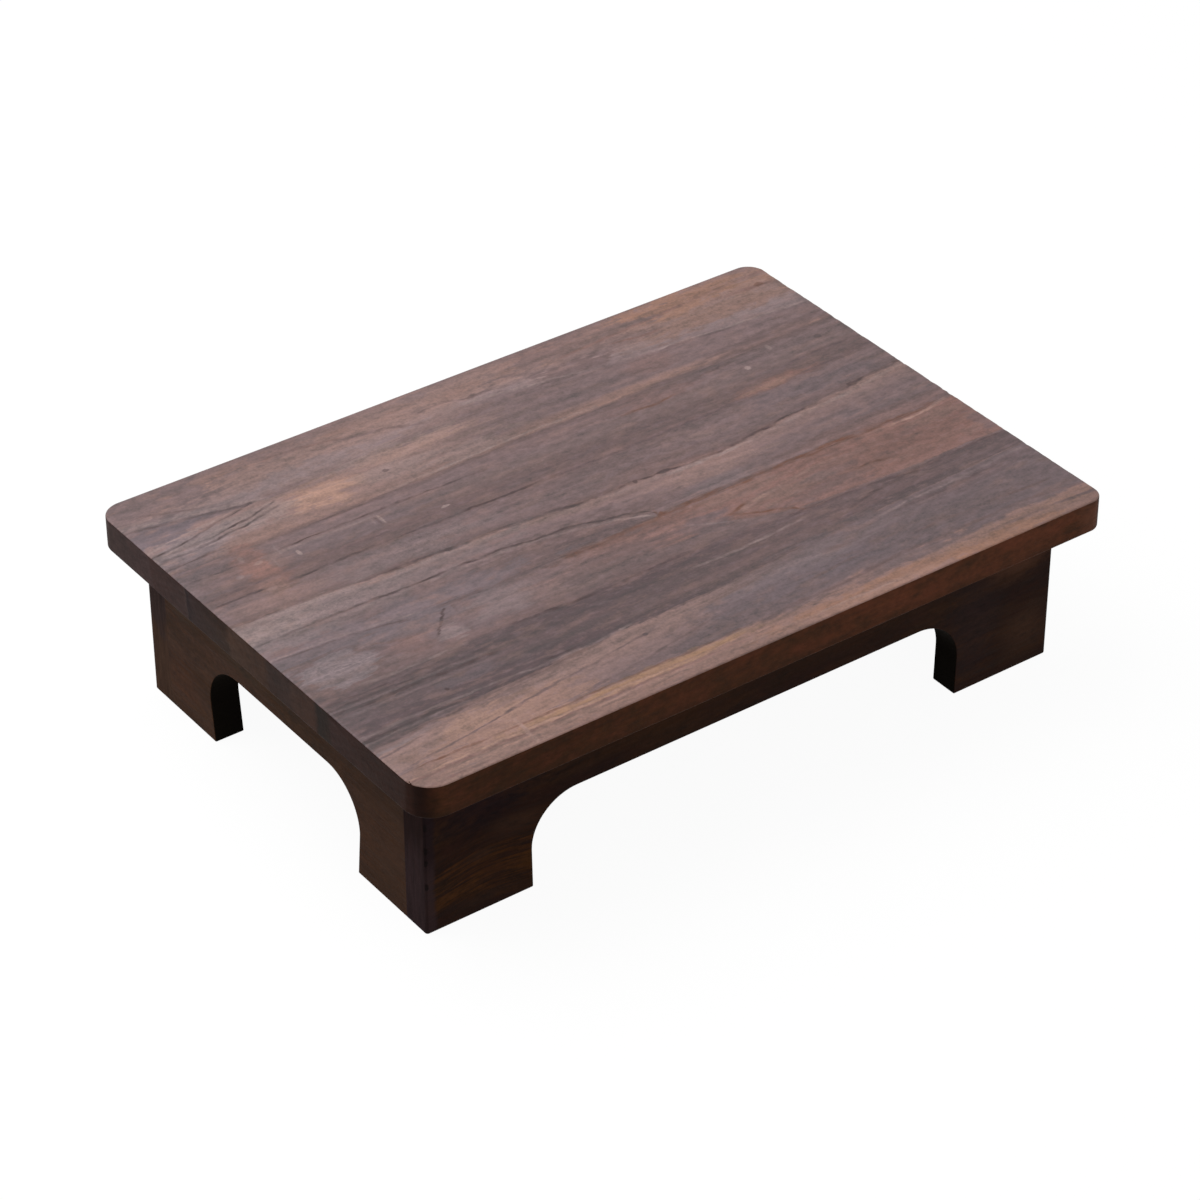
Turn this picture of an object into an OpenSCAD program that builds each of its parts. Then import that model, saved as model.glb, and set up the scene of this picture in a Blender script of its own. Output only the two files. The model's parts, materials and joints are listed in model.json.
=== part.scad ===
// Low tea table: an edge-jointed board top on a base of four arched boards
// X runs along the length, Y from the front to the back and Z up
// The origin is on the floor, under the middle of the top

/* [Top] */
// Length of the top
top_len = 500; // [440:5:620]
// Width of the top, from front to back
top_wid = 348; // [320:2:420]
// Thickness of the top boards
top_thick = 22; // [18:0.5:28]
// Width of the back board
back_board_wid = 87.5; // [72:0.5:100]
// Width of the wide board in front of the back one
mid_back_board_wid = 118; // [100:1:130]
// Width of the narrow board in front of the wide one; the front board takes the rest
mid_front_board_wid = 46; // [44:1:60]
// Rounding of the front left corner, seen from above
front_left_r = 18; // [6:0.5:30]
// Rounding of the front right corner, seen from above
front_right_r = 10.5; // [6:0.5:30]
// Rounding of the back left corner, seen from above
back_left_r = 14.5; // [6:0.5:30]
// Rounding of the back right corner, seen from above
back_right_r = 13; // [6:0.5:30]
// Bevel that takes the sharpness off the upper arris
top_bevel = 1; // [0.4:0.1:3]

/* [Base] */
// Height of the base boards
base_h = 102; // [88:1:140]
// Thickness of the base boards
board_thick = 20; // [17:0.5:26]
// How far the top reaches past the base at each end
end_overhang = 17; // [8:0.5:36]
// How far the top reaches past the base at the front and the back
side_overhang = 25.5; // [10:0.5:40]
// Rounding of the outer upright arrises of the base
arris_r = 2; // [1:0.5:8]

/* [Arches] */
// Height of the underside of the front and back rails above the floor
side_arch_h = 59.5; // [46:0.5:70]
// Height of the underside of the end rails above the floor
end_arch_h = 62.5; // [46:0.5:70]
// Rounding where a rail turns down into a foot
arch_r = 32; // [12:1:44]
// Length of each foot on the front and back boards
side_foot = 74.5; // [56:0.5:110]
// Length of each foot on an end face, with the side board's thickness
end_foot = 70.5; // [56:0.5:90]
// How far a foot of the front and back boards spreads from the arch's spring to the floor
side_flare = 0.5; // [0:0.5:4]
// How far a foot of the end boards spreads from the arch's spring to the floor
end_flare = 3; // [0:0.5:4]

/* [Corner blocks] */
// Width and depth of a corner block
block_w = 30; // [28:1:40]
// Height of a corner block
block_h = 40; // [32:1:46]
// Bevel of the block's free upright edge
block_bevel = 3; // [1:0.5:4]

/* [Dowels] */
// Diameter of a dowel
dowel_d = 8; // [5:0.5:9]
// Length of a dowel
dowel_len = 30; // [26:1:36]
// Bevel at the ends of a dowel
dowel_bevel = 1; // [0.3:0.1:2]
// Radial clearance of a dowel in its hole
dowel_fit = 0.05; // [0.02:0.01:0.3]
// Spare depth for glue past each end of a dowel
glue_gap = 1; // [0.5:0.5:2]
// Depth of the rail dowels in the top
dowel_in_top = 13; // [10:0.5:15]
// Depth of the corner dowels in the front and back boards
dowel_in_side = 12; // [10:0.5:14]
// Distance of the lowest and highest corner dowels from the ends of their joint
corner_dowel_inset = 20; // [16:0.5:24]
// Distance between rail dowels along the front and back boards
side_rail_pitch = 120; // [100:1:130]
// Distance between the two rail dowels of an end board
end_rail_pitch = 110; // [80:1:130]
// Distance between the dowels along a joint of the top
edge_pitch = 120; // [104:1:130]

/* [Screws] */
// Diameter of a screw's shank
screw_d = 4; // [3:0.1:4.5]
// Diameter of a screw's countersunk head
screw_head_d = 7.6; // [6:0.1:9]
// Length of a screw's point
screw_point = 5; // [3:0.5:8]
// How deep the screws reach past the block into a board
screw_bite = 10; // [6:0.5:14]
// Radial clearance of a screw in its hole
screw_fit = 0.1; // [0.05:0.05:0.3]
// Distance from the block's bevel to the rim of a sideways screw's head
screw_edge = 1; // [0.5:0.5:2]
// Distance from the block's ends to the sideways screws
screw_end = 10; // [7:0.5:12]
// Span of the cross recess in a screw's head
recess_span = 4.2; // [3:0.1:5]
// Width of the cross recess
recess_wid = 1.1; // [0.6:0.1:1.6]
// Depth of the cross recess
recess_deep = 1.4; // [0.8:0.1:1.8]

/* [Hidden] */
$fn = 96;

// Colours of the brushed and burnt boards, and of the pieces inside
back_board_shade = [0.53, 0.43, 0.40];
mid_back_board_shade = [0.45, 0.38, 0.37];
mid_front_board_shade = [0.52, 0.43, 0.42];
front_board_shade = [0.48, 0.40, 0.39];
side_apron_shade = [0.19, 0.13, 0.11];
end_apron_shade = [0.25, 0.19, 0.16];
block_shade = [0.33, 0.24, 0.19];
dowel_shade = [0.78, 0.64, 0.45];
screw_shade = [0.72, 0.66, 0.45];

// Signs that pick a side of the table
left = -1;
right = 1;
front = -1;
back = 1;

// How far a cutter reaches past the face that it cuts
over = 1;

// Outer and inner faces of the base, from the middle
base_x = top_len / 2 - end_overhang;
base_y = top_wid / 2 - side_overhang;
inner_x = base_x - board_thick;
inner_y = base_y - board_thick;

// Middle planes of the boards, where their dowels run
end_mid_x = base_x - board_thick / 2;
side_mid_y = base_y - board_thick / 2;
top_mid_z = base_h + top_thick / 2;

// Heights of the dowels in a corner, spaced evenly
corner_dowel_z = [corner_dowel_inset, base_h / 2, base_h - corner_dowel_inset];

// Joints between the boards of the top
back_joint_y = top_wid / 2 - back_board_wid;
mid_joint_y = back_joint_y - mid_back_board_wid;
front_joint_y = mid_joint_y - mid_front_board_wid;

// Places of the dowels along a joint of the top
edge_dowel_x = [for (i = [-1.5:1:1.5]) i * edge_pitch];

// Straight length of a screw's head cone, for a square countersink
head_h = (screw_head_d - screw_d) / 2;

// Distance from the block's free faces to the sideways screws, with their heads off the bevel
screw_inset = block_bevel + screw_head_d / 2 + screw_edge;

// Top panel

// One rounded corner of the panel, with the bevel as a cone on the cylinder
module panel_corner(sx, sy, r) {
    translate([sx * (top_len / 2 - r), sy * (top_wid / 2 - r), 0]) {
        cylinder(h = top_thick - top_bevel, r = r);
        translate([0, 0, top_thick - top_bevel])
            cylinder(h = top_bevel, r1 = r, r2 = r - top_bevel);
    }
}

// A bar of the panel between two corners, bevelled along its outer upper arris
module panel_bar(reach, depth, span_lo, span_hi) {
    translate([0, span_hi, 0]) rotate([90, 0, 0]) linear_extrude(span_hi - span_lo)
        polygon([
            [reach - depth, 0], [reach, 0], [reach, top_thick - top_bevel],
            [reach - top_bevel, top_thick], [reach - depth, top_thick]
        ]);
}

// The whole panel, standing on the base
module panel() {
    deep = max(front_left_r, front_right_r, back_left_r, back_right_r);
    half_x = top_len / 2;
    half_y = top_wid / 2;
    translate([0, 0, base_h]) {
        panel_corner(left, front, front_left_r);
        panel_corner(right, front, front_right_r);
        panel_corner(left, back, back_left_r);
        panel_corner(right, back, back_right_r);
        panel_bar(half_x, deep, -half_y + front_right_r, half_y - back_right_r);
        mirror([1, 0, 0]) panel_bar(half_x, deep, -half_y + front_left_r, half_y - back_left_r);
        rotate([0, 0, 90]) panel_bar(half_y, deep, -half_x + back_right_r, half_x - back_left_r);
        rotate([0, 0, -90]) panel_bar(half_y, deep, -half_x + front_left_r, half_x - front_right_r);
        translate([-half_x + deep / 2, -half_y + deep / 2, 0])
            cube([top_len - deep, top_wid - deep, top_thick]);
    }
}

// The part of the panel between two lines across its width
module top_board(y_lo, y_hi, shade) {
    color(shade) difference() {
        intersection() {
            panel();
            translate([-top_len, y_lo, base_h - over])
                cube([2 * top_len, y_hi - y_lo, top_thick + 2 * over]);
        }
        for (sy = [front, back]) side_rail_places(sy) dowel_hole(dowel_in_top);
        for (sx = [left, right]) end_rail_places(sx) dowel_hole(dowel_in_top);
        for (y = [back_joint_y, mid_joint_y, front_joint_y])
            edge_places(y) dowel_hole(dowel_len / 2);
        corner_places() top_screw_place() screw_hole(block_h);
    }
}

// Base boards

// The arch through a board, seen square to the board's face
module arch_2d(half_open, high, flare) {
    spring = high - arch_r;
    half_top = half_open + flare;
    half_flat = half_top - arch_r;
    polygon([
        [-half_open, -over], [-half_open, 0], [-half_top, spring], [-half_flat, high],
        [half_flat, high], [half_top, spring], [half_open, 0], [half_open, -over]
    ]);
    for (s = [left, right]) translate([s * half_flat, spring]) circle(r = arch_r);
}

// Plan of the front or back board, with its outer upright arrises rounded
module side_plan_2d() {
    translate([-base_x, -board_thick]) square([2 * base_x, board_thick - arris_r]);
    translate([-base_x + arris_r, -board_thick]) square([2 * (base_x - arris_r), board_thick]);
    for (s = [left, right]) translate([s * (base_x - arris_r), -arris_r]) circle(r = arris_r);
}

// The front or back board: full length, with a foot at each end
module side_apron(sy) {
    color(side_apron_shade) difference() {
        translate([0, sy * base_y, 0]) mirror([0, sy == front ? 1 : 0, 0])
            linear_extrude(base_h) side_plan_2d();
        translate([0, sy * side_mid_y + board_thick / 2 + over, 0]) rotate([90, 0, 0])
            linear_extrude(board_thick + 2 * over)
                arch_2d(base_x - side_foot, side_arch_h, side_flare);
        for (sx = [left, right]) corner_dowel_places(sx, sy) dowel_hole(dowel_in_side);
        side_rail_places(sy) dowel_hole(dowel_in_top);
        corner_places() side_screw_place() screw_hole(block_w);
    }
}

// The left or right board: it butts between the front and back boards
module end_apron(sx) {
    color(end_apron_shade) difference() {
        translate([sx * end_mid_x - board_thick / 2, -inner_y, 0])
            cube([board_thick, 2 * inner_y, base_h]);
        translate([sx * end_mid_x - board_thick / 2 - over, 0, 0]) rotate([90, 0, 90])
            linear_extrude(board_thick + 2 * over)
                arch_2d(base_y - end_foot, end_arch_h, end_flare);
        for (sy = [front, back]) corner_dowel_places(sx, sy) dowel_hole(dowel_in_side);
        end_rail_places(sx) dowel_hole(dowel_in_top);
        corner_places() end_screw_place() screw_hole(block_w);
    }
}

// Corner blocks

// A block that ties two boards of the base to each other and to the top
module corner_block(sx, sy) {
    color(block_shade) difference() {
        mirror([sx == left ? 1 : 0, 0, 0]) mirror([0, sy == front ? 1 : 0, 0])
            translate([inner_x, inner_y, base_h - block_h]) linear_extrude(block_h)
                polygon([
                    [0, 0], [-block_w, 0], [-block_w, -block_w + block_bevel],
                    [-block_w + block_bevel, -block_w], [0, -block_w]
                ]);
        corner_places() {
            top_screw_place() screw_hole(block_h);
            end_screw_place() screw_hole(block_w);
            side_screw_place() screw_hole(block_w);
        }
    }
}

// Dowels

// A dowel along Z across the joint plane, reaching up past it by the given depth
module dowel(up) {
    r = dowel_d / 2;
    translate([0, 0, up - dowel_len]) rotate_extrude()
        polygon([
            [0, 0], [r - dowel_bevel, 0], [r, dowel_bevel],
            [r, dowel_len - dowel_bevel], [r - dowel_bevel, dowel_len], [0, dowel_len]
        ]);
}

// The hole for that dowel, through both boards of the joint
module dowel_hole(up) {
    translate([0, 0, up - dowel_len - glue_gap])
        cylinder(h = dowel_len + 2 * glue_gap, d = dowel_d + 2 * dowel_fit);
}

// Places of the dowels from an end board into the front or back board
module corner_dowel_places(sx, sy) {
    for (z = corner_dowel_z)
        translate([sx * end_mid_x, sy * inner_y, z]) rotate([-90 * sy, 0, 0]) children();
}

// Places of the dowels from the front or back rail into the top
module side_rail_places(sy) {
    for (i = [-1:1]) translate([i * side_rail_pitch, sy * side_mid_y, base_h]) children();
}

// Places of the dowels from an end rail into the top
module end_rail_places(sx) {
    for (s = [front, back]) translate([sx * end_mid_x, s * end_rail_pitch / 2, base_h]) children();
}

// Places of the dowels along a joint between two boards of the top
module edge_places(y) {
    for (x = edge_dowel_x) translate([x, y, top_mid_z]) rotate([90, 0, 0]) children();
}

module corner_dowels(sx, sy) {
    color(dowel_shade) corner_dowel_places(sx, sy) dowel(dowel_in_side);
}

module side_rail_dowels(sy) {
    color(dowel_shade) side_rail_places(sy) dowel(dowel_in_top);
}

module end_rail_dowels(sx) {
    color(dowel_shade) end_rail_places(sx) dowel(dowel_in_top);
}

module edge_dowels(y) {
    color(dowel_shade) edge_places(y) dowel(dowel_len / 2);
}

// Screws

// A countersunk screw along Z, its head flush at zero, through the given thickness
module screw(through) {
    r = screw_d / 2;
    tip = through + screw_bite;
    difference() {
        rotate_extrude()
            polygon([
                [0, 0], [screw_head_d / 2, 0], [r, head_h],
                [r, tip - screw_point], [0, tip]
            ]);
        for (turn = [0, 90]) rotate([0, 0, turn])
            translate([-recess_span / 2, -recess_wid / 2, -over])
                cube([recess_span, recess_wid, recess_deep + over]);
    }
}

// The hole for that screw, with room for its head
module screw_hole(through) {
    r = screw_d / 2 + screw_fit;
    head_r = screw_head_d / 2 + screw_fit;
    translate([0, 0, -over]) cylinder(h = through + screw_bite + screw_fit + over, r = r);
    cylinder(h = head_r - r, r1 = head_r, r2 = r);
    translate([0, 0, -over]) cylinder(h = over, r = head_r);
}

// The inner corners of the base, turned so that +X and +Y point into the corner
module corner_places() {
    for (sx = [left, right], sy = [front, back])
        mirror([sx == left ? 1 : 0, 0, 0]) mirror([0, sy == front ? 1 : 0, 0])
            translate([inner_x, inner_y, base_h - block_h]) children();
}

// The screw that goes up through a block into the top
module top_screw_place() {
    translate([-block_w / 2, -block_w / 2, 0]) children();
}

// The screw that goes through a block into the end board
module end_screw_place() {
    translate([-block_w, -block_w + screw_inset, block_h - screw_end])
        rotate([0, 90, 0]) children();
}

// The screw that goes through a block into the front or back board
module side_screw_place() {
    translate([-block_w + screw_inset, -block_w, screw_end]) rotate([-90, 0, 0]) children();
}

module top_screws() {
    color(screw_shade) corner_places() top_screw_place() screw(block_h);
}

module apron_screws() {
    color(screw_shade) corner_places() {
        end_screw_place() screw(block_w);
        side_screw_place() screw(block_w);
    }
}

top_board(back_joint_y, top_wid / 2 + over, back_board_shade);  // top_board_back
top_board(mid_joint_y, back_joint_y, mid_back_board_shade);  // top_board_mid_back
top_board(front_joint_y, mid_joint_y, mid_front_board_shade);  // top_board_mid_front
top_board(-top_wid / 2 - over, front_joint_y, front_board_shade);  // top_board_front
side_apron(front);  // front_apron
side_apron(back);  // back_apron
end_apron(left);  // left_apron
end_apron(right);  // right_apron
corner_block(left, front);  // corner_block_front_left
corner_block(right, front);  // corner_block_front_right
corner_block(left, back);  // corner_block_back_left
corner_block(right, back);  // corner_block_back_right
corner_dowels(left, front);  // corner_dowels_front_left
corner_dowels(right, front);  // corner_dowels_front_right
corner_dowels(left, back);  // corner_dowels_back_left
corner_dowels(right, back);  // corner_dowels_back_right
side_rail_dowels(front);  // rail_dowels_front
side_rail_dowels(back);  // rail_dowels_back
end_rail_dowels(left);  // rail_dowels_left
end_rail_dowels(right);  // rail_dowels_right
edge_dowels(back_joint_y);  // edge_dowels_back
edge_dowels(mid_joint_y);  // edge_dowels_mid
edge_dowels(front_joint_y);  // edge_dowels_front
top_screws();
apron_screws();
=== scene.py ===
import json
import math

import bmesh
import bpy
from mathutils import Matrix, Vector, noise


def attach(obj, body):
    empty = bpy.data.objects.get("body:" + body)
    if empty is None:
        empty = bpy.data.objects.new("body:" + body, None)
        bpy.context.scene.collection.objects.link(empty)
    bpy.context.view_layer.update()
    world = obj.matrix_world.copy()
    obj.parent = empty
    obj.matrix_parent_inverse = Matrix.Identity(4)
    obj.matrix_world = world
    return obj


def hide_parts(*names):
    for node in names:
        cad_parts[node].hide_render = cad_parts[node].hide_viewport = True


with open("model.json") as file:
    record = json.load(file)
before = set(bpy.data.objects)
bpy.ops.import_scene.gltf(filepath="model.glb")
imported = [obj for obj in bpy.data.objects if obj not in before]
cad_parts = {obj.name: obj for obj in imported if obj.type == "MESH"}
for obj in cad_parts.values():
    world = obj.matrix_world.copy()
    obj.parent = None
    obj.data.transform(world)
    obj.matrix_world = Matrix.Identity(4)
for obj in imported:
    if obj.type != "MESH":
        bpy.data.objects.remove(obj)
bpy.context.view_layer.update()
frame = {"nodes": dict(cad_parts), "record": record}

MM = 0.001

# The table's sizes, in millimetres. The origin is on the floor under the middle of the top.
HALF_LENGTH = 250.0
HALF_WIDTH = 174.0
FULL_LENGTH = 2 * HALF_LENGTH
FULL_WIDTH = 2 * HALF_WIDTH
TOP_UNDER = 102.0
TOP_UPPER = 124.0
BASE_X = 233.0
BASE_Y = 148.5
BOARD = 20.0

# How far edges are rounded: the top's above and below, those of the base, and the upright
# arrises of the front and back boards
TOP_ARRIS = 1.2
UNDER_ARRIS = 0.8
BASE_ARRIS = 0.7
UPRIGHT_ARRIS = 2.0

# Arches: rounding, then half the width at the floor, the height and the spread of the feet
ARCH_RADIUS = 32.0
SIDE_ARCH = (158.5, 59.5, 0.5)
END_ARCH = (78.0, 62.5, 3.0)
ARCH_STEPS = 20

# Radius of each corner of the top: left is -1 and right is 1, front is -1 and back is 1
CORNER_RADIUS = {(-1, -1): 18.0, (1, -1): 10.5, (-1, 1): 14.5, (1, 1): 13.0}
CORNER_STEPS = 18

# Lines across the width where the boards of the top meet, from the back edge
BOARD_EDGES = [0.0, 87.5, 205.5, 251.5, FULL_WIDTH]

# The upper face is cut into rows and columns for the brushing, which reaches a little below it
BRUSH_ROW = 2.0
BRUSH_COLUMN = 8.0
BRUSHED_BELOW = 1.3

# Wear of the top's end arrises: how far in it reaches, and the shares of it down and inwards
WORN_WITHIN = 1.4
WORN_DOWN = 0.6
WORN_IN = 0.5

# Points closer than this are in the same place
NEAR = 0.01

# An edge is sharp where its faces turn by more than this
SHARP_TURN = math.radians(50)

# A face looks a certain way where its normal goes that way by more than this
FACING = 0.5


# Camera and light


def set_camera():
    """The camera stands where the photograph was taken from."""
    focal_px = 4066.5
    image_px = 1200.0
    sensor = 36.0
    yaw, pitch, roll = (math.radians(a) for a in (-36.19, 34.88, -0.08))
    right_shift, down_shift, distance = 1.77, 43.14, 2521.6
    back = Vector((math.sin(yaw) * math.cos(pitch), -math.cos(yaw) * math.cos(pitch),
                   math.sin(pitch)))
    ahead = -back
    right = ahead.cross(Vector((0, 0, 1))).normalized()
    up = right.cross(ahead)
    leaned_right = right * math.cos(roll) + up * math.sin(roll)
    leaned_up = up * math.cos(roll) - right * math.sin(roll)
    place = leaned_up * down_shift - leaned_right * right_shift - ahead * distance
    lens = bpy.data.cameras.new("camera")
    lens.sensor_width = sensor
    lens.lens = sensor * focal_px / image_px
    lens.clip_end = 60.0
    camera = bpy.data.objects.new("camera", lens)
    camera.matrix_world = Matrix.Translation(place * MM) @ Matrix(
        (leaned_right, leaned_up, back)).transposed().to_4x4()
    bpy.context.scene.collection.objects.link(camera)
    bpy.context.scene.camera = camera


def add_lamp(name, place, side, power):
    """A square soft box that faces the middle of the table."""
    light = bpy.data.lights.new(name, "AREA")
    light.size = side
    light.energy = power
    lamp = bpy.data.objects.new(name, light)
    lamp.location = place
    middle = Vector((0, 0, 0.06))
    lamp.rotation_euler = (middle - Vector(place)).to_track_quat("-Z", "Y").to_euler()
    bpy.context.scene.collection.objects.link(lamp)


# Shader kit


class Wire:
    """A value that varies over a surface. Sums and products of wires add Math nodes."""

    def __init__(self, finish, socket):
        self.finish = finish
        self.socket = socket

    def __add__(self, other):
        return self.finish.math("ADD", self, other)

    def __radd__(self, other):
        return self.finish.math("ADD", other, self)

    def __sub__(self, other):
        return self.finish.math("SUBTRACT", self, other)

    def __rsub__(self, other):
        return self.finish.math("SUBTRACT", other, self)

    def __mul__(self, other):
        return self.finish.math("MULTIPLY", self, other)

    def __rmul__(self, other):
        return self.finish.math("MULTIPLY", other, self)

    def __truediv__(self, other):
        return self.finish.math("DIVIDE", self, other)

    def __abs__(self):
        return self.finish.math("ABSOLUTE", self)

    def swing(self, amount):
        """Turns noise about 0.5 into noise about zero, and makes it larger or smaller."""
        return (self - 0.5) * amount


class Finish:
    """The nodes of a material or of the world, with the few ways used here to add them."""

    def __init__(self, owner):
        owner.use_nodes = True
        self.owner = owner
        self.tree = owner.node_tree
        self.tree.nodes.clear()

    def node(self, kind, settings=None, sockets=None, out=0):
        """Adds a node: its settings first, then the values or wires of its sockets."""
        made = self.tree.nodes.new(kind)
        for name, value in (settings or {}).items():
            if name == "course":
                lay_course(made.mapping, value)
            elif name == "stops":
                lay_stops(made.color_ramp, value)
            else:
                setattr(made, name, value)
        for name, value in (sockets or {}).items():
            if isinstance(value, Wire):
                self.tree.links.new(value.socket, made.inputs[name])
            else:
                made.inputs[name].default_value = value
        return Wire(self, made.outputs[out]) if made.outputs else made

    def math(self, operation, *values):
        return self.node("ShaderNodeMath", {"operation": operation}, dict(enumerate(values)))

    def vector_math(self, operation, *values, out=0):
        return self.node("ShaderNodeVectorMath", {"operation": operation}, dict(enumerate(values)), out)

    def rise(self, value, start, end, low=0.0, high=1.0, kind="SMOOTHSTEP"):
        """Goes smoothly from low to high as value goes from start to end, and stops there."""
        return self.node("ShaderNodeMapRange", {"interpolation_type": kind}, {
            "Value": value, "From Min": start, "From Max": end, "To Min": low, "To Max": high})

    def line(self, value, start, end, low, high):
        """Goes straight from low to high as value goes from start to end, and stops there."""
        return self.rise(value, start, end, low, high, "LINEAR")

    def mix(self, share, under, over):
        """The colour under, with a share of the colour over."""
        return self.node("ShaderNodeMix", {"data_type": "RGBA"}, {0: share, 6: under, 7: over}, 2)

    def tint(self, under, over, strength, value, start, end):
        """The colour under, with more of the colour over as value goes from start to end."""
        return self.mix(self.rise(value, start, end, 0.0, strength), under, over)

    def shade(self, colour, amount):
        """The colour made darker or lighter by an amount around 1."""
        return self.node("ShaderNodeVectorMath", {"operation": "SCALE"}, {0: colour, "Scale": amount})

    def parts(self, vector):
        """The x, y and z of a vector."""
        split = self.node("ShaderNodeSeparateXYZ", {}, {0: vector})
        return [Wire(self, socket) for socket in split.socket.node.outputs]

    def together(self, x, y, z):
        return self.node("ShaderNodeCombineXYZ", {}, {0: x, 1: y, 2: z})

    def place(self):
        """The x, y and z of a point on the table, in millimetres."""
        metres = self.node("ShaderNodeTexCoord", out="Object")
        return self.parts(self.vector_math("MULTIPLY", metres, (1 / MM, 1 / MM, 1 / MM)))

    def facing(self):
        """The x, y and z of the direction that the surface faces."""
        return self.parts(self.node("ShaderNodeNewGeometry", out="Normal"))

    def cloud(self, point, size, start, detail=2.0, rough=0.5):
        """Soft noise about 0.5, whose lumps have the given size in millimetres along x, y and z."""
        spread = self.node("ShaderNodeMapping", {}, {
            "Vector": point, "Location": start, "Scale": tuple(1.0 / s for s in size)})
        return self.node("ShaderNodeTexNoise", {}, {
            "Vector": spread, "Scale": 1.0, "Detail": detail, "Roughness": rough})

    def along_course(self, along_share, course):
        """How far across a course of points (along, across) lies, as a share of the full width.

        along_share is the place along the board as a share of its full length.
        """
        return self.node("ShaderNodeFloatCurve", {"course": course}, {"Value": along_share})

    def seen(self):
        """One for rays from the camera, also those by way of gloss or glass, and else zero."""
        rays = [self.node("ShaderNodeLightPath", out=kind)
                for kind in ("Is Camera Ray", "Is Glossy Ray", "Is Transmission Ray")]
        return self.node("ShaderNodeClamp", {}, {"Value": rays[0] + rays[1] + rays[2]})

    def surface(self, colour, specular, roughness, height, depth, strength=0.5, metallic=0.0):
        """The material, with its shader joined up. depth is how deep height goes, in millimetres."""
        bump = self.node("ShaderNodeBump", {}, {
            "Height": height, "Distance": depth * MM, "Strength": strength})
        shader = self.node("ShaderNodeBsdfPrincipled", {}, {
            "Base Color": colour, "Metallic": metallic, "Roughness": roughness,
            "Specular IOR Level": specular, "Normal": bump})
        self.node("ShaderNodeOutputMaterial", {}, {"Surface": shader})
        return self.owner


def lay_course(mapping, course):
    """Puts the points of a course on a curve node, whose own span is 0 to 1 both ways."""
    mapping.use_clip = False
    points = mapping.curves[0].points
    while len(points) < len(course):
        points.new(0.5, 0.5)
    for point, (along, across) in zip(points, sorted(course)):
        point.location = (along / FULL_LENGTH, across / FULL_WIDTH)
        point.handle_type = "AUTO_CLAMPED"
    mapping.update()


def lay_stops(ramp, stops):
    """Puts (position, colour) stops on a colour ramp."""
    while len(ramp.elements) < len(stops):
        ramp.elements.new(0.5)
    for element, (position, colour) in zip(ramp.elements, stops):
        element.position = position
        element.color = colour


# Wood tones as the eye sees them, in parts of 255

# What each kind of face gets: the sheen that lies on it, and the light
TOP_SHEEN, TOP_LIGHT = 0.045, 1.12
FRONT_SHEEN, FRONT_LIGHT = 0.0025, 0.49
END_SHEEN, END_LIGHT = 0.009, 0.68
END_GRAIN_SHEEN = 0.0012
DARKEST = 0.0015


def linear(part):
    part = part / 255.0
    return part / 12.92 if part <= 0.04045 else ((part + 0.055) / 1.055) ** 2.4


def tone(red, green, blue, sheen=0.0, light=1.0):
    """The colour of bare wood that looks like this once the light and the sheen are on it."""
    bare = [max((linear(part) - sheen) / light, DARKEST) for part in (red, green, blue)]
    return (*bare, 1.0)


def top_tone(red, green, blue):
    return tone(red, green, blue, TOP_SHEEN, TOP_LIGHT)


def front_tone(red, green, blue):
    return tone(red, green, blue, FRONT_SHEEN, FRONT_LIGHT)


def end_tone(red, green, blue):
    return tone(red, green, blue, END_SHEEN, END_LIGHT)


def end_grain_tone(red, green, blue):
    return tone(red, green, blue, END_GRAIN_SHEEN, END_LIGHT)


TONES = {
    "amber": top_tone(180, 143, 128),
    "peach": top_tone(168, 136, 126),
    "apricot": top_tone(162, 128, 116),
    "rose": top_tone(152, 124, 118),
    "orange": top_tone(160, 121, 103),
    "gold": top_tone(162, 127, 104),
    "tan": top_tone(147, 117, 109),
    "clay": top_tone(134, 103, 97),
    "burnt": top_tone(112, 77, 64),
    "mauve": top_tone(127, 106, 106),
    "ash": top_tone(140, 121, 121),
    "pale": top_tone(158, 137, 134),
    "slate": top_tone(117, 103, 108),
    "dusk": top_tone(114, 98, 100),
    "knot": top_tone(138, 122, 124),
    "silver": top_tone(147, 132, 134),
    "haze": top_tone(126, 112, 117),
    "taupe": top_tone(120, 101, 100),
    "rust": top_tone(143, 107, 99),
    "umber": top_tone(113, 93, 92),
    "charcoal": top_tone(101, 84, 85),
    "coal": top_tone(91, 76, 78),
    "soot": top_tone(76, 59, 58),
}

# The figure has its own lines of measure: along from just past the left end, and across from
# just inside the back edge, to which it lies at a slight slant
FIGURE_ALONG = 1.2
FIGURE_ACROSS = 1.8
FIGURE_SLANT = 0.0016

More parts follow.
